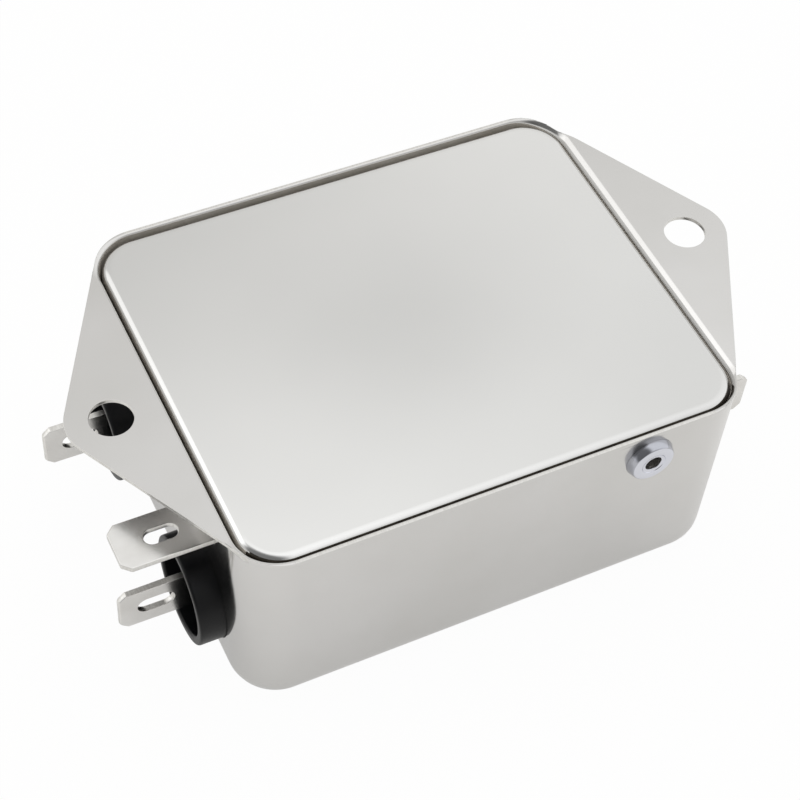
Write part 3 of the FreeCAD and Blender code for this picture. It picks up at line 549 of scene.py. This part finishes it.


# Breaks the sharp edges, shades the piece, gives it its finishes, hands it to its body and
# hides the imported part it stands for
def finishPiece(piece, finishes, edgeBreak, node, smoothEdge=modelling["smoothEdge"]):
    if edgeBreak:
        modify(piece, "BEVEL", width=edgeBreak * mm, segments=modelling["breakSteps"],
               limit_method="ANGLE", angle_limit=math.radians(modelling["sharpEdge"]),
               use_clamp_overlap=False)
    openMesh(piece, "VERT")
    bpy.ops.mesh.select_all(action="SELECT")
    bpy.ops.mesh.remove_doubles(threshold=tiny)
    bpy.ops.mesh.normals_make_consistent(inside=False)
    closeMesh()
    activate(piece)
    bpy.ops.object.shade_smooth_by_angle(angle=math.radians(smoothEdge))
    modify(piece, "WEIGHTED_NORMAL", mode="FACE_AREA", keep_sharp=True,
           weight=modelling["normalWeight"])
    while len(piece.data.materials) < len(finishes):
        piece.data.materials.append(finishes[len(piece.data.materials)])
    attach(piece, "root")
    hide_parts(node)


print("case")

case = {
    "length": 63.6, "width": 52.0, "height": 29.3, "gauge": 0.55,
    "cornerRadius": 6.0, "baseRadius": 4.2,
    "mouthBend": (1.1, 2.0),  # at the line end's ear, which is the tighter one, and the other
    "rimBreak": 0.2,  # at the long sides
    "blankSpread": (1.8, 1.6, 1),  # from the mouth to the sheet that is left round it
    "holePitch": 75.0, "holeDiameter": 5.15, "earRadius": 5.3, "rimLip": 0.01,
    "earStart": 0.9,  # how far inside the end walls the ears' rims begin
    "edgeBreak": 0.05, "punchReach": 1, "punchDepth": 4, "dieReach": 5,
    "bushingHole": 13.8, "bushingPitch": 25.7, "bushingHeight": 10.5,
    "rivetHole": 3.3, "rivetX": 18.15, "rivetHeight": 25.0,
    "earthSlot": (-16.3, -9.9, 22.89, 23.79),  # y from and to, z from and to
    "cornerSteps": 20, "bendSteps": 10,
}


# The bend's radius at a place on the mouth: full along the ends, fading round the corners
def bendAt(point, less, atSide):
    atEnd = case["mouthBend"][0 if point.x < 0 else 1] - less
    across = abs(point.x) - (case["length"] / 2 - case["cornerRadius"]) * mm
    along = abs(point.y) - (case["width"] / 2 - case["cornerRadius"]) * mm
    turn = min(max(math.atan2(along, across) / (math.pi / 2), 0), 1) if across > tiny else 1
    eased = turn * turn * (3 - 2 * turn)
    return atEnd + (atSide - atEnd) * eased


def makeCase():
    halfLength, halfWidth = case["length"] / 2, case["width"] / 2
    gauge, height = case["gauge"], case["height"]
    flange = height - gauge
    piece = addBlock("case_skin", (-halfLength, -halfWidth, 0), (halfLength, halfWidth, flange))
    openMesh(piece, "EDGE")
    pick(piece, "EDGE", lambda edge: runsAlong(edge, 2))
    bpy.ops.mesh.bevel(offset=case["cornerRadius"] * mm, segments=case["cornerSteps"],
                       affect="EDGES")
    pick(piece, "FACE", lambda face: liesAt(face, 2, flange))
    bpy.ops.mesh.delete(type="FACE")
    pick(piece, "EDGE", lambda edge: liesAt(edge, 2, flange))
    bpy.ops.mesh.extrude_edges_move()
    bpy.ops.transform.resize(value=case["blankSpread"], center_override=(0, 0, flange * mm))
    closeMesh()
    modify(piece, "SOLIDIFY", thickness=gauge * mm, offset=-1, use_even_offset=True,
           use_quality_normals=True)
    flatten(piece, gauge)
    flatten(piece, height)

    # the bends are the edge loops of the sharp box, each with its own radius
    biggest = case["baseRadius"]
    openMesh(piece, "EDGE")
    mesh = bmesh.from_edit_mesh(piece.data)
    weight = mesh.edges.layers.float.new("bevel_weight_edge")
    for edge in mesh.edges:
        middle = (edge.verts[0].co + edge.verts[1].co) / 2
        inside = max(abs(middle.x) - halfLength * mm, abs(middle.y) - halfWidth * mm) < tiny
        if not inside:
            continue
        if liesAt(edge, 2, 0):
            edge[weight] = 1
        elif liesAt(edge, 2, gauge):
            edge[weight] = (biggest - gauge) / biggest
        elif liesAt(edge, 2, height):
            edge[weight] = bendAt(middle, 0, case["rimBreak"]) / biggest
        elif liesAt(edge, 2, flange):
            edge[weight] = bendAt(middle, gauge, case["rimBreak"] / 2) / biggest
    bmesh.update_edit_mesh(piece.data)
    closeMesh()
    modify(piece, "BEVEL", width=biggest * mm, segments=case["bendSteps"],
           limit_method="WEIGHT", use_clamp_overlap=False)
    piece.name = "case_plate"
    return piece


# The trimming die: the hull round four corner posts and two ear posts
def makeTrimDie():
    cornerX = case["length"] / 2 - case["cornerRadius"]
    cornerY = case["width"] / 2 - case["cornerRadius"]
    cornerPost = case["cornerRadius"] + case["rimLip"]
    holeX = case["holePitch"] / 2
    posts = [((x, y), cornerPost) for x in (-cornerX, cornerX) for y in (-cornerY, cornerY)]
    posts += [((x, 0), case["earRadius"]) for x in (-holeX, holeX)]
    bottom, top = -case["dieReach"], case["height"] + case["dieReach"]
    return wrapBars([addBar("post", "Z", place, bottom, top, radius, "large")
                     for place, radius in posts])


def trimAndPierceCase(piece):
    cutWith(piece, makeTrimDie(), "INTERSECT")
    reach, depth = case["length"] / 2 + case["punchReach"], case["punchDepth"]
    for y in (-case["bushingPitch"] / 2, case["bushingPitch"] / 2):
        cutWith(piece, addBar("punch", "X", (y, case["bushingHeight"]), -reach, reach,
                              case["bushingHole"] / 2, "large"))
    for x in (-case["holePitch"] / 2, case["holePitch"] / 2):
        cutWith(piece, addBar("punch", "Z", (x, 0), case["height"] - depth / 2,
                              case["height"] + depth / 2, case["holeDiameter"] / 2, "large"))
    outside = case["width"] / 2 + case["punchReach"]
    for side in (-1, 1):
        x = -case["rivetX"] * side
        cutWith(piece, addBar("punch", "Y", (x, case["rivetHeight"]), (outside - depth) * side,
                              outside * side, case["rivetHole"] / 2, "small"))
    front, back, bottom, top = case["earthSlot"]
    cutWith(piece, addBlock("punch", (-reach, front, bottom), (-reach + depth, back, top)))
    piece.name = "case_shell"


# The sheared faces are the ears' rims, which face outwards, and the long rims, which face
# up. The inner faces lie within the walls and look inwards.
def markCaseFaces(piece):
    sideX = (case["length"] / 2 - case["cornerRadius"]) * mm
    earX = (case["length"] / 2 - case["earStart"]) * mm
    rimY = (case["width"] / 2 - case["gauge"] + case["rimBreak"] * 0.9) * mm
    insideX = (case["length"] / 2 - case["gauge"] * 0.5) * mm
    insideY = (case["width"] / 2 - case["gauge"] * 0.5) * mm
    flangeZ = (case["height"] - case["gauge"]) * mm
    for face in piece.data.polygons:
        middle, normal = face.center, face.normal
        isUpright = abs(normal.z) < modelling["upright"]
        isLevel = normal.z > modelling["level"]
        onEarRim = isUpright and middle.z > flangeZ and abs(middle.x) > earX
        onLongRim = isLevel and abs(middle.y) > rimY and abs(middle.x) < sideX
        isInside = abs(middle.x) < insideX and abs(middle.y) < insideY
        looksInwards = normal.x * middle.x + normal.y * middle.y < 0
        onInnerFace = isUpright and isInside and looksInwards
        face.material_index = 1 if onEarRim or onLongRim else 2 if onInnerFace else 0


caseShell = makeCase()
trimAndPierceCase(caseShell)
finishPiece(caseShell, [casePlate, sheared, innerPlate], case["edgeBreak"],
            "case")
markCaseFaces(caseShell)

print("cover")

cover = {
    "halfLength": 31.0, "halfWidth": 25.2, "top": 29.2, "skirtBottom": 25.7,
    "offCentre": (0.0, -0.14),  # it lies a little askew in its clearance
    "gauge": 0.6, "cornerRadius": 5.15, "bend": 1.2,
    "tongueWidth": 8.0, "tongueBottom": 21.2, "tongueX": case["rivetX"], "tongueY": 25.25,
    "tongueCorner": 2.0, "cornerSteps": 20, "bendSteps": 10, "tongueSteps": 8,
    "shadedSkirtNormal": (-0.35, 0.76),  # the most that a face's normal has along Y and Z to get the skirt's painted shade
}


def makeCover():
    x, y, top = cover["halfLength"], cover["halfWidth"], cover["top"]
    piece = addBlock("cover_skin", (-x, -y, cover["skirtBottom"]), (x, y, top))
    openMesh(piece, "EDGE")
    pick(piece, "EDGE", lambda edge: runsAlong(edge, 2))
    bpy.ops.mesh.bevel(offset=cover["cornerRadius"] * mm, segments=cover["cornerSteps"],
                       affect="EDGES")
    pick(piece, "EDGE", lambda edge: liesAt(edge, 2, top))
    bpy.ops.mesh.bevel(offset=cover["bend"] * mm, segments=cover["bendSteps"], affect="EDGES")
    pick(piece, "FACE", lambda face: liesAt(face, 2, cover["skirtBottom"]))
    bpy.ops.mesh.delete(type="FACE")
    closeMesh()
    modify(piece, "SOLIDIFY", thickness=cover["gauge"] * mm, offset=-1, use_even_offset=True,
           use_quality_normals=True)
    tongues = []
    for side in (-1, 1):
        middle = -cover["tongueX"] * side
        half = cover["tongueWidth"] / 2
        outer, inner = cover["tongueY"] * side, (cover["tongueY"] - cover["gauge"]) * side
        tongue = addBlock("tongue", (middle - half, min(outer, inner), cover["tongueBottom"]),
                          (middle + half, max(outer, inner), cover["skirtBottom"]))
        openMesh(tongue, "EDGE")
        pick(tongue, "EDGE", lambda edge: runsAlong(edge, 1)
             and liesAt(edge, 2, cover["tongueBottom"]))
        bpy.ops.mesh.bevel(offset=cover["tongueCorner"] * mm, segments=cover["tongueSteps"],
                           affect="EDGES")
        closeMesh()
        tongues.append(tongue)
    joinInto(piece, tongues)
    x, y = cover["offCentre"]
    piece.data.transform(Matrix.Translation((x * mm, y * mm, 0)))
    piece.name = "cover_pan"
    return piece


# The part of the skirt with the painted shade: its front, from where the bend turns down
def markSkirt(piece):
    mostY, mostZ = cover["shadedSkirtNormal"]
    for face in piece.data.polygons:
        isShaded = face.normal.y < mostY and face.normal.z < mostZ
        face.material_index = 1 if isShaded else 0


coverPan = makeCover()
finishPiece(coverPan, [coverPlate, skirtFrontShade], 0, "cover")
markSkirt(coverPan)

print("rivets")

rivet = {
    "x": case["rivetX"], "y": case["width"] / 2, "z": case["rivetHeight"],
    "headRadius": 3.05, "headHeight": 1.1, "faceRadius": 2.65, "faceRound": 0.2,
    "recessRadius": 1.5, "recessDepth": 0.08, "boreRadius": 1.05,
    "shankRadius": 1.6, "grip": 1.3, "bulbRadius": 2.4, "bulbLength": 3.0, "bulbRound": 0.7,
    "wireRadius": 1.02, "wireRecess": 1.5, "wireGap": 0.02, "wireEnd": -5.5,
    "tornInset": 0.3, "tornDepth": 0.25, "softEdge": 0.07, "smoothEdge": 45,
    "faceSteps": 4, "bulbSteps": 5, "boreMargin": 0.05, "flankMargin": 0.02,
}


# Grows the picked ring face to another radius, and then out or in along the axis
def step(piece, radius, newRadius, along):
    extrude()
    scale = newRadius / radius
    mesh = bmesh.from_edit_mesh(piece.data)
    chosen = [point for point in mesh.verts if point.select]
    middle = sum((point.co for point in chosen), Vector()) / len(chosen)
    bpy.ops.transform.resize(value=(scale, 1, scale), center_override=middle)
    extrude(y=along)


# The front rivet, with its head towards -Y
def makeRivet():
    base, head = -rivet["y"], rivet["headHeight"]
    body = addBar("rivet_front", "Y", (rivet["x"], rivet["z"]), base - head, base,
                  rivet["headRadius"], "head")
    openMesh(body, "FACE")
    pick(body, "FACE", lambda face: liesAt(face, 1, base - head))
    taper = rivet["faceRadius"] / rivet["headRadius"]
    bpy.ops.transform.resize(value=(taper, 1, taper), center_override=Vector(
        (rivet["x"], base - head, rivet["z"])) * mm)
    pick(body, "EDGE", lambda edge: liesAt(edge, 1, base - head))
    bpy.ops.mesh.bevel(offset=rivet["faceRound"] * mm, segments=rivet["faceSteps"],
                       affect="EDGES")
    pick(body, "FACE", lambda face: liesAt(face, 1, base - head))
    top = rivet["faceRadius"] - rivet["faceRound"]
    step(body, top, rivet["recessRadius"], rivet["recessDepth"])
    step(body, rivet["recessRadius"], rivet["boreRadius"], rivet["wireRecess"])
    pick(body, "FACE", lambda face: liesAt(face, 1, base))
    step(body, rivet["headRadius"], rivet["shankRadius"], rivet["grip"])
    step(body, rivet["shankRadius"], rivet["bulbRadius"], rivet["bulbLength"])
    bulbEnd = base + rivet["grip"] + rivet["bulbLength"]
    pick(body, "EDGE", lambda edge: liesAt(edge, 1, bulbEnd))
    bpy.ops.mesh.bevel(offset=rivet["bulbRound"] * mm, segments=rivet["bulbSteps"],
                       affect="EDGES")
    closeMesh()
    return body


# What is left of the pulled wire, with its torn end deep in the rivet's bore
def makeWire():
    start = -rivet["y"] - rivet["headHeight"] + rivet["wireRecess"] + rivet["wireGap"]
    wire = addBar("wire_front", "Y", (rivet["x"], rivet["z"]), start,
                  -rivet["y"] - rivet["wireEnd"], rivet["wireRadius"], "wire")
    openMesh(wire, "FACE")
    pick(wire, "FACE", lambda face: liesAt(face, 1, start))
    bpy.ops.mesh.inset(thickness=rivet["tornInset"] * mm)
    bpy.ops.transform.translate(value=(0, rivet["tornDepth"] * mm, 0))
    closeMesh()
    return wire


# A copy with its own mesh, turned half round the upright axis
def turnedCopy(piece, name):
    copy = piece.copy()
    copy.data = piece.data.copy()
    copy.name = name
    bpy.context.scene.collection.objects.link(copy)
    copy.data.transform(Matrix.Rotation(math.pi, 4, "Z"))
    return copy


# The bore gets the wire's dark steel as painted shade in the hollow, and the flank a darker
# aluminium as a painted dark reflection
def markRivet(piece):
    boreEdge = rivet["boreRadius"] + rivet["boreMargin"]
    flankEdge = rivet["faceRadius"] - rivet["flankMargin"]
    for face in piece.data.polygons:
        middle = face.center / mm
        fromAxis = math.hypot(abs(middle.x) - rivet["x"], middle.z - rivet["z"])
        inShadedBore = fromAxis < boreEdge and abs(face.normal.y) < modelling["upright"]
        onFlank = fromAxis > flankEdge and abs(middle.y) > rivet["y"]
        face.material_index = 1 if inShadedBore else 2 if onFlank else 0


rivetFront, wireFront = makeRivet(), makeWire()
rivetBack, wireBack = turnedCopy(rivetFront, "rivet_back"), turnedCopy(wireFront, "wire_back")
for piece, node in ((rivetFront, "rivet_body_front"), (rivetBack, "rivet_body_back")):
    finishPiece(piece, [rivetAluminium, mandrelSteelAndBoreShade, flankPaintedReflection],
                rivet["softEdge"], node, rivet["smoothEdge"])
    markRivet(piece)
for piece, node in ((wireFront, "rivet_mandrel_front"), (wireBack, "rivet_mandrel_back")):
    finishPiece(piece, [mandrelSteelAndBoreShade], 0, node, rivet["smoothEdge"])

print("bushings")

bushing = {
    "wallFace": 31.9,  # of the solids' wall, which is a little further out than this one
    "axisY": case["bushingPitch"] / 2, "axisZ": case["bushingHeight"],
    "radius": 6.8, "wall": 1.2, "reach": {"line": 3.1, "load": 2.4},
    "cupFloorInside": 1.6, "cupFloor": 1.5,
    "flangeRadius": 7.8, "flangeThickness": 1.2, "caseGauge": 0.7,
    "flatBelow": 6.2, "flatBeside": 7.1, "edge": 0.3, "edgeSteps": 4, "softEdge": 0.08,
    "slotHeight": 6.4, "slotWidth": 0.9,
    "toolReach": 1, "toolWidth": 12, "toolLap": 0.01,  # of the tools that cut it
    "rimTurn": 1.0,  # radians between the faces at its rim's edges
}


# A front bushing along -X, from its flange inside the wall outwards, for one end's reach
def makeBushing(end):
    wallX = -bushing["wallFace"]
    mouth = wallX - bushing["reach"][end]
    floorX = wallX + bushing["cupFloorInside"]
    backX = floorX + bushing["cupFloor"]
    centre = (-bushing["axisY"], bushing["axisZ"])
    inner = bushing["radius"] - bushing["wall"]
    cup = addBar("bushing_master", "X", centre, mouth, backX, bushing["radius"], "large")
    openMesh(cup, "FACE")
    pick(cup, "FACE", lambda face: liesAt(face, 0, mouth))
    bpy.ops.mesh.inset(thickness=bushing["wall"] * mm)
    extrude(x=floorX - mouth)
    pick(cup, "EDGE", lambda edge: liesAt(edge, 0, mouth) and len(edge.link_faces) == 2
         and edge.calc_face_angle(0) > bushing["rimTurn"])
    bpy.ops.mesh.bevel(offset=bushing["edge"] * mm, segments=bushing["edgeSteps"],
                       affect="EDGES")
    closeMesh()
    flangeStart = wallX + bushing["caseGauge"]
    flange = addBar("flange", "X", centre, flangeStart,
                    flangeStart + bushing["flangeThickness"], bushing["flangeRadius"],
                    "large")
    toolEnd = backX + bushing["toolReach"]
    bore = addBar("bore", "X", centre, flangeStart - bushing["toolReach"], toolEnd, inner,
                  "large")
    cutWith(flange, bore)
    modify(cup, "BOOLEAN", object=flange, operation="UNION", solver="EXACT")
    bpy.data.objects.remove(flange, do_unlink=True)
    (y, z), far = centre, bushing["toolWidth"]
    flatStart = flangeStart - bushing["toolLap"]
    cutWith(cup, addBlock("flatTool", (flatStart, y - far, z - far),
                          (toolEnd, y + far, z - bushing["flatBelow"])))
    for side in (-1, 1):
        low, high = sorted((y + bushing["flatBeside"] * side, y + far * side))
        cutWith(cup, addBlock("flatTool", (flatStart, low, z - far), (toolEnd, high, z + far)))
    halfSlot, halfHeight = bushing["slotWidth"] / 2, bushing["slotHeight"] / 2
    cutWith(cup, addBlock("slotTool",
                          (floorX - bushing["toolReach"], y - halfSlot, z - halfHeight),
                          (toolEnd, y + halfSlot, z + halfHeight)))
    return cup


# The four places of a bushing or tab: turned to the other end, and moved to the other side
def spread(masters, kind):
    pitch = bushing["axisY"] * 2 * mm
    made = []
    for end, side in (("line", "front"), ("line", "back"), ("load", "front"), ("load", "back")):
        copy = masters[end].copy()
        copy.data = masters[end].data.copy()
        copy.name = f"{end}_{kind}_{side}_fine"
        bpy.context.scene.collection.objects.link(copy)
        if end == "load":
            copy.data.transform(Matrix.Rotation(math.pi, 4, "Z"))
        belongsAtBack = side == "back"
        isAtBack = end == "load"  # the half turn took it there
        if belongsAtBack != isAtBack:
            move = pitch if belongsAtBack else -pitch
            copy.data.transform(Matrix.Translation((0, move, 0)))
        made.append((copy, f"{end}_{kind}_{side}"))
    for master in set(masters.values()):
        bpy.data.objects.remove(master, do_unlink=True)
    return made


bushings = {end: makeBushing(end) for end in ("line", "load")}
for piece, node in spread(bushings, "bushing"):
    finishPiece(piece, [bushingPlastic], bushing["softEdge"], node)

print("push-on tabs")

tab = {
    "axisY": bushing["axisY"], "axisZ": bushing["axisZ"], "wallFace": bushing["wallFace"],
    "width": 6.3, "thickness": 0.8, "reach": 10.6,
    "tipLength": 1.15, "tipWidth": 0.95, "bevel": 0.2,
    "slotInset": 2.3, "slotLength": 4.5, "slotWidth": 2.4,
    "bladeBack": -3.1, "shoulderWidth": 8.0, "shoulderLength": 1.2,
    "tailTop": 1.0, "tailBottom": -2.5, "tailLength": 3.6, "prongWidth": 1.2,
    "prongLength": 2.8, "edgeBreak": 0.1, "punchReach": 1,
}


# The line end's front tab, as a flat stamping that points to -X
def makeTab():
    y, z, wallX = -tab["axisY"], tab["axisZ"], -tab["wallFace"]
    half, thick = tab["width"] / 2, tab["thickness"] / 2
    tip, back = wallX - tab["reach"], wallX - tab["bladeBack"]
    piece = addBlock("tab_master", (tip, y - thick, z - half), (back, y + thick, z + half))
    openMesh(piece, "FACE")
    middle = Vector((0, y, z)) * mm

    def stretchTo(low, high, oldLow, oldHigh):
        scale = (high - low) / (oldHigh - oldLow)
        bpy.ops.transform.resize(value=(1, 1, scale), center_override=middle)
        shift = (high + low) / 2 - (oldHigh + oldLow) / 2 * scale
        bpy.ops.transform.translate(value=(0, 0, shift * mm))

    shoulder = tab["shoulderWidth"] / 2
    pick(piece, "FACE", lambda face: liesAt(face, 0, back))
    extrude()
    stretchTo(-shoulder, shoulder, -half, half)
    extrude(x=tab["shoulderLength"])
    extrude()
    stretchTo(tab["tailBottom"], tab["tailTop"], -shoulder, shoulder)
    straight = tab["tailLength"] - tab["prongWidth"]
    extrude(x=straight)
    extrude(x=tab["prongWidth"])
    prongFrom = back + tab["shoulderLength"] + straight
    bottom = z + tab["tailBottom"]
    pick(piece, "FACE", lambda face: liesAt(face, 2, bottom)
         and face.calc_center_median().x > prongFrom * mm)
    extrude(z=-tab["prongLength"])
    bpy.ops.mesh.select_all(action="SELECT")
    bpy.ops.mesh.remove_doubles(threshold=tiny)
    closeMesh()

    # the tip's corners are cropped, and its end is bevelled to a wedge
    for side in (-1, 1):
        cropBeyond(piece, (tip, y, z + (half - tab["tipWidth"]) * side),
                   (-tab["tipWidth"], 0, tab["tipLength"] * side))
    for side in (-1, 1):
        cropBeyond(piece, (tip, y + (thick - tab["bevel"]) * side, z), (-1, side, 0))
    cutSlot(piece, "Y", (tip + tab["slotInset"], z, tab["slotLength"], tab["slotWidth"]),
            (y - tab["punchReach"], y + tab["punchReach"]))
    return piece


# A slot with round ends, through a strip that lies across Y or Z
def cutSlot(piece, axis, slot, reach):
    start, across, length, width = slot
    radius = width / 2
    cutWith(piece, wrapBars([addBar("slotEnd", axis, (x, across), *reach, radius, "small")
                             for x in (start + radius, start + length - radius)]))


# Marks the stamped outline, so that only the flat faces keep the strip's finish
def markStampedEdge(piece, flatAxis):
    for face in piece.data.polygons:
        face.material_index = 0 if abs(face.normal[flatAxis]) > modelling["flat"] else 1


flatTab = makeTab()
for piece, node in spread({"line": flatTab, "load": flatTab}, "tab"):
    finishPiece(piece, [tabPlate, sheared], tab["edgeBreak"], node)
    markStampedEdge(piece, 1)

print("earth tab")

earth = {
    "tip": -42.45, "top": 23.74, "thickness": 0.8, "front": -16.25, "width": 6.3,
    "footFace": -30.4, "footBottom": 19.8, "legX": -25.8, "legEnd": 5.2, "legWidth": 2.4,
    "tipLength": 1.15, "tipWidth": 0.95, "bend": 0.9, "bendSteps": 6,
    "slotInset": 3.55, "slotLength": 4.0, "slotWidth": 2.0, "edgeBreak": 0.16,
    "punchReach": (2, 1),  # below and above its upper face
    "legMargin": 1,  # keeps the picked leg clear of the strip's other points
}


# A strip drawn along its upper face: out of the case, down the wall, in, and to the board
def makeEarthTab():
    tip, top, foot = earth["tip"], earth["top"], earth["footFace"]
    front, back = earth["front"], earth["front"] + earth["width"]
    bpy.ops.object.select_all(action="DESELECT")
    bpy.ops.mesh.primitive_plane_add(size=1)
    bpy.ops.transform.resize(value=((foot - tip) * mm, earth["width"] * mm, 1))
    bpy.ops.transform.translate(
        value=((foot + tip) / 2 * mm, (front + back) / 2 * mm, top * mm))
    strip = startPiece("earth_strip")
    openMesh(strip, "EDGE")
    pick(strip, "EDGE", lambda edge: liesAt(edge, 0, foot))
    extrude(z=earth["footBottom"] - top)
    extrude(x=earth["legX"] - foot)
    extrude(z=earth["legEnd"] - earth["footBottom"])
    legTop, legSide = top - earth["legMargin"], foot + earth["legMargin"]
    pick(strip, "VERT", lambda point: same(point.co.y, back) and point.co.z < legTop * mm
         and point.co.x > legSide * mm)
    bpy.ops.transform.translate(value=(0, (front + earth["legWidth"] - back) * mm, 0))
    pick(strip, "EDGE", lambda edge: runsAlong(edge, 1) and (
        liesAt(edge, 2, top) or liesAt(edge, 2, earth["footBottom"]))
        and not liesAt(edge, 0, tip))
    bpy.ops.mesh.bevel(offset=earth["bend"] * mm, segments=earth["bendSteps"],
                       affect="EDGES")
    bpy.ops.mesh.select_all(action="SELECT")
    bpy.ops.mesh.normals_make_consistent(inside=False)
    closeMesh()
    modify(strip, "SOLIDIFY", thickness=earth["thickness"] * mm, offset=-1,
           use_even_offset=True)
    for side, edge in ((-1, front), (1, back)):
        cropBeyond(strip, (tip, edge - earth["tipWidth"] * side, top),
                   (-earth["tipWidth"], earth["tipLength"] * side, 0))
    below, above = earth["punchReach"]
    cutSlot(strip, "Z", (tip + earth["slotInset"], (front + back) / 2, earth["slotLength"],
                         earth["slotWidth"]), (top - below, top + above))
    return strip


earthStrip = makeEarthTab()
finishPiece(earthStrip, [tabPlate, sheared], earth["edgeBreak"], "earth_tab")
markStampedEdge(earthStrip, 2)

print("finished")
